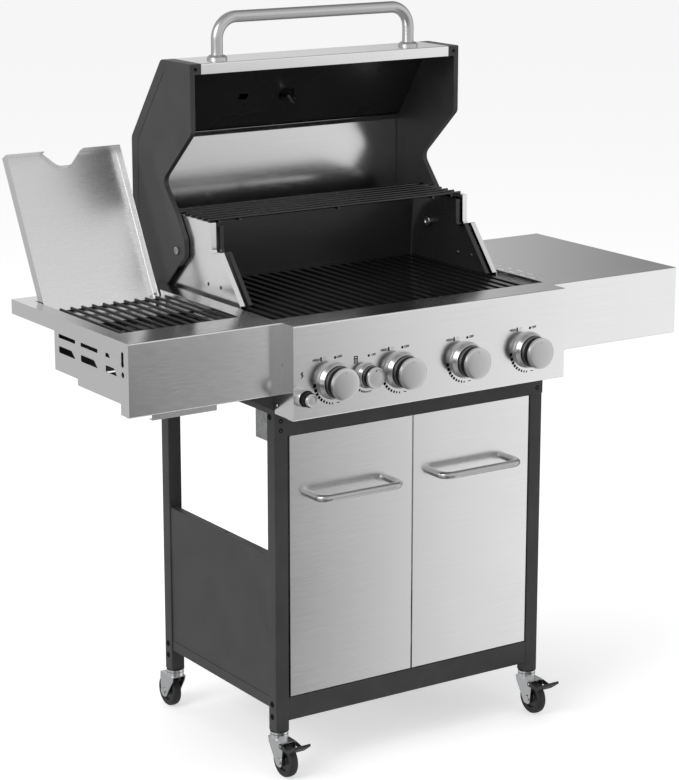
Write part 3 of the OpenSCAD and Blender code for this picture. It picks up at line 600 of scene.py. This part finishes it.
class GRILL_OT_burner_box(bpy.types.Operator):
    """Builds the side burner's box with its open louvres, their lips and the tab behind the fascia, and paints the
    shade inside the box in black
    """
    bl_idname = "grill.burner_box"
    bl_label = "Side burner box"

    LEFT_WALL, FOOT, TOP = -602.7, 758, 829
    # front and back ends of the louvres
    LOUVRES = ((8, 57), (86, 148), (169, 231))

    def execute(self, context):
        node = "side_burner_box"
        box = dressed(node, "steel_y", sizes().sheet_edge, reshape=self.louvred)
        # the faces inside the box are parted off and coated in black paint: painted shade inside the box
        first, last = at(-601.9, 4, 758.6), at(-314.6, 247.2, 830)
        painted_shade_inside = parted(box, lambda centre: all(a < b < c for a, b, c in zip(first, centre, last)))
        settled(painted_shade_inside, node + "_lining", node, "paint", slot="black_paint")
        settled(joined(self.lips()), node + "_lips", node, "steel_y", slot="stainless")
        return {"FINISHED"}

    def louvred(self, box):
        """Gives the box a new outer wall."""
        left, foot, top = self.LEFT_WALL, self.FOOT, self.TOP
        cut(box, slab(at(left - 5, -5, foot - 5), at(left + 7, 260, top + 5), 0))
        wall = slab(at(left, 3.2, foot), at(left + 7, 248, top), 0)
        cut(wall, slab(at(left + SHEET, 4.4, foot + SHEET), at(left + 9, 246.8, top + 5), 0))
        for front, back in self.LOUVRES:
            louvre = slab(at(left - 3, front, 792), at(left + 4, back, 804), 0)
            for vertex in louvre.data.vertices:
                if vertex.co.z > 0.8 and vertex.co.y < at(0, back - 31, 0).y:
                    vertex.co.y += 14 * MM
            softened(louvre, 0.0022, 3)
            cut(wall, louvre, slab(at(left - 3, front, 819), at(left + 4, back, 826), 0))
        return joined([box, wall])

    def lips(self):
        """The tab that laps behind the fascia, and the lips turned in from the louvres' upper edges."""
        left = self.LEFT_WALL
        tab = slab(at(left - 0.8, 3.4, 791), at(left - 0.05, 46, 827), 0)
        for vertex in tab.data.vertices:
            if vertex.co.z < 0.8 and vertex.co.y > at(0, 40, 0).y:
                vertex.co.y -= 32 * MM
        pieces = [tab]
        for front, back in self.LOUVRES:
            lip = slab(at(-0.6, front + 16, -3.7), at(0.6, back - 2, 3.7), 0)
            lip.matrix_world = (Matrix.Translation(((left + 3.4) * MM, 0, 801.8 * MM))
                                @ Matrix.Rotation(math.radians(-46), 4, "Y"))
            pieces.append(set_place(lip))
        return pieces


def set_on_panel(node, cap, skirt, collar, bezel, pointer):
    """Sets the pieces of one knob about its stem, with its pointer already in place."""
    settled(on_panel(cap, node), node + "_cap", node, "cap", [node])
    settled(on_panel(skirt, node), node + "_skirt", node, "skirt", slot="black_plastic")
    settled(on_panel(collar, node), node + "_collar", node, "collar")
    settled(on_panel(bezel, node), node + "_bezel", "knob_bezels", "bezel")
    # on the main knobs the pointer's black ink is painted shade of a small dent
    settled(pointer, node + "_pointer", node, "ink")


class GRILL_OT_knobs(bpy.types.Operator):
    """Builds the silver caps, black skirts, collars and bezels of the control knobs"""
    bl_idname = "grill.knobs"
    bl_label = "Knobs"

    def execute(self, context):
        rim = sizes().cap_rim / MM
        cap = turned([(28.0, 33.4), (29.2, 33.8), (29.3, 35.0), (28.7, 35.4), (28.6, 36.0), (29.1, 36.4),
                      (29.1 - rim * 0.25, 37.9), (29.1 - rim, 38.6), (24.0, 39.0), (14.0, 39.3), (0.4, 39.45)], 72)
        skirt = turned([(28.4, 23.2), (28.9, 23.6), (28.9, 33.2), (28.0, 33.5)], 72)
        collar = turned([(4.0, -26.0), (4.0, 14.8), (26.0, 15.4), (28.4, 15.8), (28.8, 16.4), (28.8, 22.6),
                         (28.2, 23.0), (28.0, 23.3)], 72)
        # the pointer is a small dent in the cap; this crater of black ink paints the shade in the dent
        dent_shade = turned([(1.9, 0.0), (1.9, 0.35), (1.6, 0.5), (1.3, 0.1)], 20)
        bezel = turned([(12.0, 0.0), (34.0, 0.0), (34.3, 1.0), (33.9, 4.8), (33.3, 5.4), (31.4, 12.6),
                        (30.6, 14.0), (29.7, 14.4), (28.9, 14.0), (28.7, 12.6), (12.0, 12.4)], 72, True)
        for node in MAIN_KNOBS:
            set_on_panel(node, copied(cap), copied(skirt), copied(collar), copied(bezel),
                         on_panel(copied(dent_shade), node, 20.5, 38.7))
        dropped(cap, skirt, collar, dent_shade, bezel)
        return {"FINISHED"}


class GRILL_OT_side_knob(bpy.types.Operator):
    """Builds the side burner's smaller knob and its bezel"""
    bl_idname = "grill.side_knob"
    bl_label = "Side burner knob"

    def execute(self, context):
        node = "side_burner_knob"
        cap = turned([(18.8, 24.4), (19.4, 24.8), (19.4, 26.4), (18.9, 27.6), (17.8, 28.2), (16.6, 28.0),
                      (12.0, 28.1), (0.4, 28.2)], 60)
        collar = turned([(4.0, -26.0), (4.0, 11.4), (18.0, 11.6), (19.2, 12.0), (19.3, 16.4), (18.8, 16.8)], 60)
        skirt = turned([(18.6, 16.6), (19.0, 17.0), (19.0, 24.2), (18.6, 24.6)], 60)
        bezel = turned([(12.0, 0.0), (23.5, 0.0), (23.7, 0.8), (23.3, 3.6), (22.9, 4.0), (21.6, 9.4),
                        (21.0, 10.7), (20.3, 11.0), (19.6, 10.6), (19.4, 9.4), (12.0, 9.2)], 60, True)
        dot = turned([(1.3, 0.0), (1.3, 0.3), (1.0, 0.4)], 16)
        set_on_panel(node, cap, skirt, collar, bezel, on_panel(dot, node, 13.5, 28.0))
        return {"FINISHED"}


class GRILL_OT_igniter(bpy.types.Operator):
    """Builds the igniter's ring, switch barrel and push button"""
    bl_idname = "grill.igniter"
    bl_label = "Igniter"

    def execute(self, context):
        node = "igniter_button"
        ring = turned([(14.0, 0.0), (16.5, 0.0), (16.7, 1.0), (16.3, 6.0), (15.9, 14.6), (15.4, 15.7),
                       (14.8, 16.0), (14.2, 15.6), (14.0, 14.8)], 56, True)
        barrel = turned([(9.0, -30.0), (10.9, -34.0), (10.9, 0.0), (14.0, 0.0), (14.0, 1.5), (9.0, 1.5)], 48, True)
        body = turned([(8.9, -22.0), (8.9, 8.0), (12.8, 8.0), (13.2, 8.6), (13.2, 28.6), (12.4, 29.6)], 56)
        cap = turned([(10.6, 29.2), (11.6, 29.8), (11.7, 32.4), (11.2, 33.6), (10.2, 34.2), (9.6, 34.0),
                      (6.0, 34.1), (0.4, 34.2)], 56)
        settled(on_panel(ring, node), "igniter_ring", "knob_bezels", "bezel", ["knob_bezels"])
        settled(on_panel(barrel, node), "igniter_barrel", "knob_bezels", "plastic", slot="black_plastic")
        settled(on_panel(body, node), "igniter_body", node, "skirt", [node], slot="black_plastic")
        settled(on_panel(cap, node), "igniter_cap", node, "cap")
        return {"FINISHED"}


def dash(x, y, wide, tall, turn=0.0):
    """A flat printed bar, in mm, about the middle of a knob."""
    clear()
    bpy.ops.mesh.primitive_plane_add(size=1, location=(x * MM, y * MM, 0), rotation=(0, 0, turn))
    piece = bpy.context.object
    piece.scale = (wide * MM, tall * MM, 1)
    return set_place(piece)


def round_mark(x, y, radius):
    """A printed dot."""
    clear()
    bpy.ops.mesh.primitive_circle_add(vertices=20, radius=radius * MM, fill_type="NGON",
                                      location=(x * MM, y * MM, 0))
    return set_place(bpy.context.object)


def word(text, x, y, height):
    """A printed word whose middle is at that place, in mm."""
    clear()
    bpy.ops.object.text_add()
    piece = bpy.context.object
    piece.data.body = text
    piece.data.size = height * MM * 1.38
    piece.data.offset = height * MM * 0.06
    piece.data.align_x, piece.data.align_y = "CENTER", "CENTER"
    piece.data.resolution_u = 3
    bpy.ops.object.convert(target="MESH")
    piece = bpy.context.object
    piece.location = (x * MM, y * MM, 0)
    return set_place(piece)


def arc_of_dashes(radius, start, end, count, wide, tall):
    """Bars along an arc that shrink from the first size to the last. Angles are in degrees, anticlockwise."""
    marks = []
    for i in range(count):
        share = i / (count - 1)
        angle = math.radians(start + (end - start) * (share ** 0.86))
        marks.append(dash(radius * math.cos(angle), radius * math.sin(angle), wide[0] + (wide[1] - wide[0]) * share,
                          tall[0] + (tall[1] - tall[0]) * share, angle))
    return marks


class GRILL_OT_panel_marks(bpy.types.Operator):
    """Prints the dashes, dots, words and signs round the knobs"""
    bl_idname = "grill.panel_marks"
    bl_label = "Panel marks"

    def execute(self, context):
        lift = sizes().mark_height
        radius = sizes().mark_radius / MM
        marks = arc_of_dashes(radius, 186, 265, 9, (6.4, 3.6), (6.6, 2.3))
        marks += [dash(8.5, -radius + 0.4, 6.0, 1.5)]
        marks += [round_mark(2.2, 41.4, 2.5), word("OFF", 11.4, 41.8, 4.4), word("HIGH", -37.6, 41.4, 4.4)]
        marks += [dash(-27.4, 41.4, 3.4, 6.6), round_mark(-27.4, 45.0, 1.2)]
        marks += [round_mark(x, 42.6 + i % 2 * 1.6, 0.5) for i, x in enumerate((-21.4, -20.0, -18.6, -17.2))]
        main = self.printed(marks, lift)
        for node in MAIN_KNOBS:
            settled(on_panel(copied(main), node), node + "_marks", "control_panel", "ink")
        marks = arc_of_dashes(30.0, 236, 284, 7, (4.2, 2.2), (3.4, 1.9))
        marks += [round_mark(2.6, 35.6, 2.4), word("OFF", 12.8, 36.0, 3.8), self.burner_sign(-25.0, 31.6)]
        side = on_panel(self.printed(marks, lift), "side_burner_knob")
        settled(side, "side_burner_knob_marks", "control_panel", "ink")
        spark = on_panel(self.printed([self.lightning()], lift), "igniter_button", 38.5)
        settled(spark, "igniter_mark", "control_panel", "ink")
        dropped(main)
        return {"FINISHED"}

    def printed(self, marks, lift):
        """One thin print from flat marks."""
        piece = joined(marks)
        modified(piece, "SOLIDIFY", thickness=lift, offset=1.0)
        edit(piece)
        bpy.ops.mesh.normals_make_consistent(inside=False)
        bpy.ops.transform.translate(value=(0, 0, lift / 4))
        bpy.ops.object.mode_set(mode="OBJECT")
        return piece

    def burner_sign(self, x, y):
        """A small framed ring that stands for the side burner."""
        sign = dash(x, y, 8.4, 13.4)
        edit(sign)
        bpy.ops.mesh.inset(thickness=1.9 * MM)
        bpy.ops.mesh.delete(type="FACE")
        bpy.ops.object.mode_set(mode="OBJECT")
        return joined([sign, round_mark(x, y - 2.2, 1.6), dash(x, y + 1.6, 4.0, 2.6)])

    def lightning(self):
        """A zigzag spark, drawn out of one short bar."""
        piece = dash(1.6, 5.2, 3.2, 1.2)
        for dx, dy, grow in ((-1.8, -3.6, 1.15), (3.0, -0.9, 0.9), (-1.7, -3.6, 0.7), (-1.4, -2.6, 0.2)):
            low = min(vertex.co.y for vertex in piece.data.vertices)
            pick(piece)
            for vertex in piece.data.vertices:
                vertex.select = vertex.co.y < low + 0.00005
            for edge in piece.data.edges:
                edge.select = all(piece.data.vertices[i].select for i in edge.vertices)
            for polygon in piece.data.polygons:
                polygon.select = False
            bpy.ops.object.mode_set(mode="EDIT")
            bpy.ops.mesh.extrude_region_move(TRANSFORM_OT_translate={"value": (dx * MM, dy * MM, 0)})
            bpy.ops.transform.resize(value=(grow, 1, 1))
            bpy.ops.object.mode_set(mode="OBJECT")
        return piece


class GRILL_OT_bolts(bpy.types.Operator):
    """Sets the dark domed bolts of the cart and the small screws of the panel and the lid"""
    bl_idname = "grill.bolts"
    bl_label = "Bolts and screws"

    def execute(self, context):
        radius, height = sizes().bolt_radius / MM, sizes().bolt_height / MM
        bolt = turned([(radius * 1.15, -0.2), (radius * 1.15, 0.25), (radius, 0.4), (radius * 0.97, height * 0.45),
                       (radius * 0.8, height * 0.8), (radius * 0.5, height), (radius * 0.46, height * 0.55),
                       (radius * 0.2, height * 0.5)], 28)
        screw = turned([(3.4, -0.2), (3.4, 0.4), (3.1, 1.0), (2.2, 1.5), (0.9, 1.6), (0.7, 0.9), (0.3, 0.8)], 24)
        washer = turned([(3.2, -0.2), (4.9, -0.2), (4.9, 0.5), (4.5, 0.7), (3.2, 0.7)], 28, True)
        ring = turned([(5.0, -1.0), (8.8, -1.0), (9.2, -0.6), (9.2, 1.0), (8.6, 1.6), (6.0, 1.6),
                       (5.0, 0.8)], 36, True)
        rivet = turned([(3.3, -8.0), (3.3, 0.0), (4.2, 0.2), (3.9, 0.9), (2.4, 1.5), (0.3, 1.6)], 24)
        sides = ((-1, LEFT), (1, RIGHT))
        cart_sides = ((17, 706), (17, 677), (14.3, 134.6), (14.3, 110.7), (398.7, 706), (398.7, 677),
                      (398.7, 136.6), (398.7, 112.8))
        heads = [(at(side * 300, y, z), outwards) for y, z in cart_sides for side, outwards in sides]
        for x in (-287.2, 287.2):
            heads += [(at(x, 0, z), FORWARD) for z in (671.5, 654)]
            heads += [(at(x, 410, z), BACKWARD) for z in (718, 128)]
        self.sown(bolt, heads, "cart_bolts", "front_left_leg", "skirt", "black_paint")
        panel_ends = [(side, z, outwards) for z in (704.7, 838) for side, outwards in sides]
        self.sown(screw, [(at(side * 300.3, -9.9, z), outwards) for side, z, outwards in panel_ends],
                  "panel_screws", "control_panel", "zinc", "zinc_plated")
        self.sown(washer, [(at(side * 300, -9.9, z), outwards) for side, z, outwards in panel_ends],
                  "panel_washers", "control_panel", "skirt", "black_plastic")
        self.sown(ring, [(at(side * 268.5, 336.6, 926.6), -outwards) for side, outwards in sides],
                  "lid_pivot_rings", "firebox", "zinc", "zinc_plated")
        self.sown(rivet, [(at(side * 276.8, y, z), -outwards) for side, outwards in sides
                          for y, z in ((244.6, 877.6), (200, 878))],
                  "firebox_rivets", "firebox", "zinc", "zinc_plated")
        for side, node in ((-1, "lid_left_end"), (1, "lid_right_end")):
            ends = [(at(side * 288, y, z), way)
                    for y, z, way in ((281, 1266, FORWARD), (505, 930, BACKWARD), (505, 1080, BACKWARD))]
            self.sown(screw, ends, node + "_screws", node, "skirt", "black_paint")
        back = [(at(x, 398, z), BACKWARD) for x in (-276, -92, 92, 276) for z in (870, 978)]
        self.sown(screw, back, "firebox_screws", "firebox", "zinc", "zinc_plated")
        dropped(bolt, screw, washer, ring, rivet)
        return {"FINISHED"}

    def sown(self, kind, places, name, node, coat, slot):
        """Sets copies of one small fitting at their places, as one piece."""
        pieces = [pointed(copied(kind), place, direction) for place, direction in places]
        return settled(joined(pieces), name, node, coat, slot=slot)


class GRILL_OT_casters(bpy.types.Operator):
    """Builds the four casters: plated forks, treaded wheels and the front brake pedals"""
    bl_idname = "grill.casters"
    bl_label = "Casters"

    def execute(self, context):
        tyre = turned([(22.5, -7.0), (25.0, -8.9), (27.5, -9.0), (29.6, -8.2), (31.0, -6.4), (31.7, -3.2),
                       (31.75, 0.0), (31.7, 3.2), (31.0, 6.4), (29.6, 8.2), (27.5, 9.0), (25.0, 8.9),
                       (22.5, 7.0)], 64, True)
        hub = turned([(4.2, -12.4), (8.4, -12.4), (9.0, -11.8), (9.4, -6.0), (11.0, -4.6), (19.0, -4.2),
                      (20.6, -7.6), (22.8, -8.0), (22.8, 8.0), (20.6, 7.6), (19.0, 4.2), (11.0, 4.6),
                      (9.4, 6.0), (9.0, 11.8), (8.4, 12.4), (4.2, 12.4)], 48, True)
        for corner in WHEELS:
            node = corner + "_wheel"
            place = middle(node)
            settled(pointed(copied(tyre), place, RIGHT), node + "_tyre", node, "rubber", [node])
            settled(pointed(copied(hub), place, RIGHT), node + "_hub", node, "plastic", slot="black_plastic")
            dressed(corner + "_fork", "zinc", 0.0004)
        dropped(tyre, hub)
        for side in ("left", "right"):
            dressed(side + "_brake_pedal", "plastic", 0.0005)
        return {"FINISHED"}


class GRILL_OT_grates(bpy.types.Operator):
    """Rounds the bars of the cooking grates, the side burner's grate and the warming rack"""
    bl_idname = "grill.grates"
    bl_label = "Grates and rack"

    def execute(self, context):
        dressed("cooking_grates", "grate", sizes().grate_edge)
        dressed("side_burner_grate", "grate")
        # the rack's chrome is coated dark: painted reflection of the black firebox
        dressed("warming_rack", "wire")
        return {"FINISHED"}


class GRILL_OT_side_burner(bpy.types.Operator):
    """Builds the side burner's head with a ring of black marks that paint the shade in its gas holes, its cap and
    its spark electrode
    """
    bl_idname = "grill.side_burner"
    bl_label = "Side burner"

    def execute(self, context):
        node = "side_burner"
        low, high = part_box(node)
        x, top = middle(node).x, high.z
        centre = Vector((x, high.y - 40 * MM, top - 38 * MM))
        base = turned([(6.0, -30.0), (6.0, 0.0), (14.0, 0.4), (20.0, 8.0), (34.0, 15.6), (38.0, 18.0), (39.6, 20.0),
                       (40.0, 27.0), (39.2, 29.6), (34.5, 30.4), (33.6, 31.0)], 64)
        cap = turned([(33.4, 30.8), (35.2, 31.6), (35.6, 33.4), (34.4, 35.2), (30.0, 36.8), (18.0, 37.7),
                      (0.4, 38.0)], 64)
        # the gas holes are not cut: small black blocks on the head's rim paint the shade in them
        port_shade = slab((-1.1 * MM, -0.4 * MM, -2.6 * MM), (1.1 * MM, 0.4 * MM, 2.6 * MM), 0.0003)
        port_shades = []
        for i in range(32):
            turn = 2 * math.pi * i / 32
            twin = copied(port_shade)
            twin.matrix_world = (Matrix.Translation(centre) @ Matrix.Rotation(turn, 4, "Z")
                                 @ Matrix.Translation((0, 39.9 * MM, 23.6 * MM)))
            port_shades.append(set_place(twin))
        dropped(port_shade)
        tube = turned([(10.0, 0.0), (10.2, 1.0), (10.0, 2.0), (10.0, 116.0), (8.6, 116.0), (8.6, 0.0)], 40, True)
        throat = Vector((x, low.y, top - 48 * MM))
        electrode = turned([(3.4, 0.0), (3.4, 18.0), (2.6, 19.0), (0.9, 19.4), (0.9, 25.0), (0.5, 25.6)], 20)
        settled(pointed(base, centre), "side_burner_head", node, "burner", [node], slot="burner_steel")
        settled(pointed(cap, centre), "side_burner_cap", node, "enamel")
        # black coat of the blocks: painted shade of the gas holes
        settled(joined(port_shades), "side_burner_port_shades", node, "plastic")
        settled(pointed(tube, throat, BACKWARD), "side_burner_tube", node, "burner", slot="burner_steel")
        settled(pointed(electrode, centre + Vector((0.046, 0, 0.006))), "side_burner_electrode", node, "dial")
        return {"FINISHED"}


class GRILL_OT_thermometer(bpy.types.Operator):
    """Builds the lid's thermometer: case, scale and glass outside, washer and wing nut inside"""
    bl_idname = "grill.thermometer"
    bl_label = "Lid thermometer"

    def execute(self, context):
        node = "thermometer"

        def fixed(piece, *names, **words):
            piece.matrix_world = THERMOMETER_TILT @ piece.matrix_world
            return settled(set_place(piece), *names, **words)

        case = turned([(26.5, 7.6), (26.5, 1.0), (30.6, 0.4), (32.0, 1.8), (32.0, 9.0), (30.8, 10.7), (29.2, 11.0),
                       (27.4, 10.2)], 64, True)
        face = turned([(27.0, 6.4), (27.0, 7.0), (26.8, 7.2)], 48)
        glass = turned([(27.6, 9.2), (27.6, 9.6), (24.0, 10.2), (12.0, 10.7), (0.5, 10.8)], 48)
        fixed(case, "thermometer_case", node, "chrome", stands_for=[node])
        fixed(face, "thermometer_face", node, "dial")
        marks = []
        for i in range(31):
            angle = math.radians(225 - 270 * i / 30)
            long, thick = (2.2, 0.4) if i % 5 else (4.2, 0.8)
            r = 24.4 - long / 2
            marks.append(dash(r * math.cos(angle), r * math.sin(angle), long, thick, angle))
        for i in range(7):
            angle = math.radians(225 - 270 * i / 6)
            marks.append(word(str(50 + 50 * i), 15.6 * math.cos(angle), 15.6 * math.sin(angle), 2.9))
        needle = math.radians(50)
        marks += [dash(-7.0 * math.cos(needle), -7.0 * math.sin(needle), 20.0, 0.9, needle), round_mark(0, 0, 2.4)]
        scale = modified(joined(marks), "SOLIDIFY", thickness=0.0001, offset=1.0)
        # the lid stands open, so the dial reads upright once it is shut
        scale.matrix_world = Matrix.Translation((0, 0, 7.3 * MM)) @ Matrix.Rotation(math.pi, 4, "Z")
        set_place(scale)
        fixed(scale, "thermometer_scale", node, "ink")
        fixed(glass, "thermometer_glass", node, "glass")
        stem = turned([(3.4, -48.0), (3.4, 1.0)], 24)
        washer = turned([(14.0, -22.5), (14.0, -19.8), (13.4, -19.4)], 40)
        plate = turned([(17.0, -19.4), (17.0, -18.2), (16.6, -17.9)], 40)
        nut = turned([(7.0, -30.0), (7.4, -29.4), (7.4, -24.0), (6.6, -21.4)], 32)
        wings = []
        for side in (-1, 1):
            wing = slab((0.004, -0.0012, -0.034), (0.0155, 0.0012, -0.0245), 0.0011, 3)
            wing.matrix_world = Matrix.Rotation(0 if side > 0 else math.pi, 4, "Z")
            wings.append(set_place(wing))
        fixed(stem, "thermometer_stem", node, "zinc", slot="zinc_plated")
        fixed(washer, "thermometer_washer", node, "gloss", slot="black_plastic")
        fixed(plate, "thermometer_backing", node, "gloss", slot="black_plastic")
        fixed(joined([nut] + wings), "thermometer_wing_nut", node, "gloss", slot="black_plastic")
        return {"FINISHED"}


# ---- Stage ----

# greys of the studio's walls that metal mirrors: degrees from the front towards the right, and the tone
STUDIO_WALLS = ((-180, 0.62), (-150, 0.50), (-125, 0.72), (-90, 0.5), (-62, 0.8), (-52, 0.14), (-16, 0.14),
                (-6, 0.6), (8, 0.30), (27, 0.04), (30.0, 0.06), (32.0, 0.22), (34.0, 0.52), (36.5, 0.92),
                (38.5, 1.0), (70, 1.0), (88, 0.55), (122, 0.30), (139, 0.26), (146, 0.66), (160, 0.82), (180, 0.62))


class GRILL_OT_stage(bpy.types.Operator):
    """Lays the pale floor, sets the soft studio light and places the camera"""
    bl_idname = "grill.stage"
    bl_label = "Stage"

    def execute(self, context):
        scene = bpy.context.scene
        scene.view_settings.view_transform = "Standard"
        clear()
        bpy.ops.mesh.primitive_plane_add(size=40)
        floor = bpy.context.object
        floor.name = "floor"
        floor.data.materials.append(self.floor_finish())
        self.world(scene)
        self.lamp("key", (-4.6, -0.9, 3.2), (0, 0, 0.7), 3.2, 104)
        self.lamp("fill", (1.2, -4.6, 3.4), (0, 0, 0.7), 3.0, 6)
        self.lamp("top", (0.0, 0.4, 4.4), (0, 0, 0.8), 3.4, 34, mirrored=False)
        clear()
        bpy.ops.object.camera_add(location=(-2.4887, -3.7218, 1.7688),
                                  rotation=(math.radians(75.925), 0.0, math.radians(-33.47)))
        camera = bpy.context.object
        camera.data.lens = 111.87
        camera.data.sensor_width = 36.0
        camera.data.sensor_fit = "AUTO"
        scene.camera = camera
        return {"FINISHED"}

    def lamp(self, name, place, target, size, power, mirrored=True):
        """A round soft lamp that looks at its target, and that metal mirrors or not."""
        clear()
        bpy.ops.object.light_add(type="AREA", location=place)
        lamp = bpy.context.object
        lamp.name = name
        lamp.data.shape = "DISK"
        lamp.data.size = size
        lamp.data.energy = power
        lamp.visible_glossy = mirrored
        lamp.rotation_euler = (Vector(target) - Vector(place)).to_track_quat("-Z", "Y").to_euler()

    def floor_finish(self):
        """Pale paper: white to the camera but for the shadow, white through glass, and not seen by metal."""
        recipe = Recipe.named("Studio floor")
        path = recipe.add("LightPath").outputs
        paper = recipe.noise(60.0, 3.0)
        base = recipe.mixed(recipe.span(paper, 0.0, 1.0), (0.86, 0.86, 0.86), (0.9, 0.9, 0.9))
        diffuse = recipe.add("BsdfDiffuse", {"Color": base}).outputs[0]
        glow = recipe.add("Emission", {"Color": (1.0, 1.0, 1.0), "Strength": 0.52}).outputs[0]
        lit = recipe.add("AddShader", {0: diffuse, 1: glow}).outputs[0]
        white = recipe.add("Emission", {"Color": (1.0, 1.0, 1.0), "Strength": 1.0}).outputs[0]
        whole = recipe.blended(path["Is Camera Ray"], diffuse, lit)
        whole = recipe.blended(path["Is Transmission Ray"], whole, white)
        # metal looks past the floor to the studio's walls
        whole = recipe.blended(path["Is Glossy Ray"], whole, recipe.add("BsdfTransparent").outputs[0])
        recipe.add("OutputMaterial", {"Surface": whole})
        return recipe.owner

    def world(self, scene):
        """White for the camera and through glass, plain light for the rest, and soft grey walls for metal."""
        scene.world = bpy.data.worlds.new("Studio")
        recipe = Recipe(scene.world)
        path = recipe.add("LightPath").outputs
        axes = recipe.add("SeparateXYZ", {"Vector": recipe.add("TexCoord").outputs["Generated"]}).outputs
        front = recipe.math("MULTIPLY", axes["Y"], -1.0)
        round_ = recipe.math("ARCTAN2", axes["X"], front)
        share = recipe.span(round_, 0.0, 1.0, -math.pi, math.pi)
        ramp = recipe.add("ValToRGB", {"Fac": share})
        stops = ramp.color_ramp.elements
        stops[0].position, stops[1].position = 0.0, 1.0
        for degrees, tone in STUDIO_WALLS[1:-1]:
            stops.new((degrees + 180) / 360)
        for stop, (degrees, tone) in zip(stops, STUDIO_WALLS):
            stop.color = (tone, tone, tone, 1)
        # above the horizon the front wall is lit all along
        lit = recipe.math("MULTIPLY", recipe.span(axes["Z"], 0.0, 0.8, -0.25, -0.07),
                          recipe.span(front, 0.0, 1.0, 0.1, 0.4))
        wall = recipe.mixed(lit, ramp.outputs["Color"], (1.0, 1.0, 1.0))
        height = recipe.span(axes["Z"], 1.0, 0.72, 0.30, 0.62)
        walls, plain, white = (
            recipe.add("Background", {"Color": colour, "Strength": strength}).outputs[0]
            for colour, strength in ((wall, height), ((1, 1, 1), 0.45), ((1, 1, 1), 1.0)))
        whole = recipe.blended(path["Is Glossy Ray"], plain, walls)
        seen = recipe.math("MAXIMUM", path["Is Camera Ray"], path["Is Transmission Ray"])
        recipe.add("OutputWorld", {"Surface": recipe.blended(seen, whole, white)})


PIECES = (GRILL_OT_shells, GRILL_OT_burner_box, GRILL_OT_knobs, GRILL_OT_side_knob, GRILL_OT_igniter,
          GRILL_OT_panel_marks, GRILL_OT_bolts, GRILL_OT_casters, GRILL_OT_grates, GRILL_OT_side_burner,
          GRILL_OT_thermometer, GRILL_OT_stage)


class GRILL_PT_sidebar(bpy.types.Panel):
    """Lists the grill's pieces, sizes and colours"""
    bl_idname = "GRILL_PT_sidebar"
    bl_label = "Grill"
    bl_space_type = "VIEW_3D"
    bl_region_type = "UI"
    bl_category = "Grill"

    def draw(self, context):
        for group in (context.scene.grill_sizes, context.scene.grill_colours):
            column = self.layout.column(align=True)
            for name in group.__annotations__:
                column.prop(group, name)
        for operator in PIECES:
            self.layout.operator(operator.bl_idname)


CLASSES = (GrillSizes, GrillColours, GRILL_PT_sidebar) + PIECES


def register():
    for cls in CLASSES:
        bpy.utils.register_class(cls)
    bpy.types.Scene.grill_sizes = bpy.props.PointerProperty(type=GrillSizes)
    bpy.types.Scene.grill_colours = bpy.props.PointerProperty(type=GrillColours)


def unregister():
    del bpy.types.Scene.grill_colours
    del bpy.types.Scene.grill_sizes
    for cls in reversed(CLASSES):
        bpy.utils.unregister_class(cls)


def main():
    register()
    for operator in PIECES:
        group, name = operator.bl_idname.split(".")
        getattr(getattr(bpy.ops, group), name)()
    clear()
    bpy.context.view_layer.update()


if __name__ == "__main__":
    main()
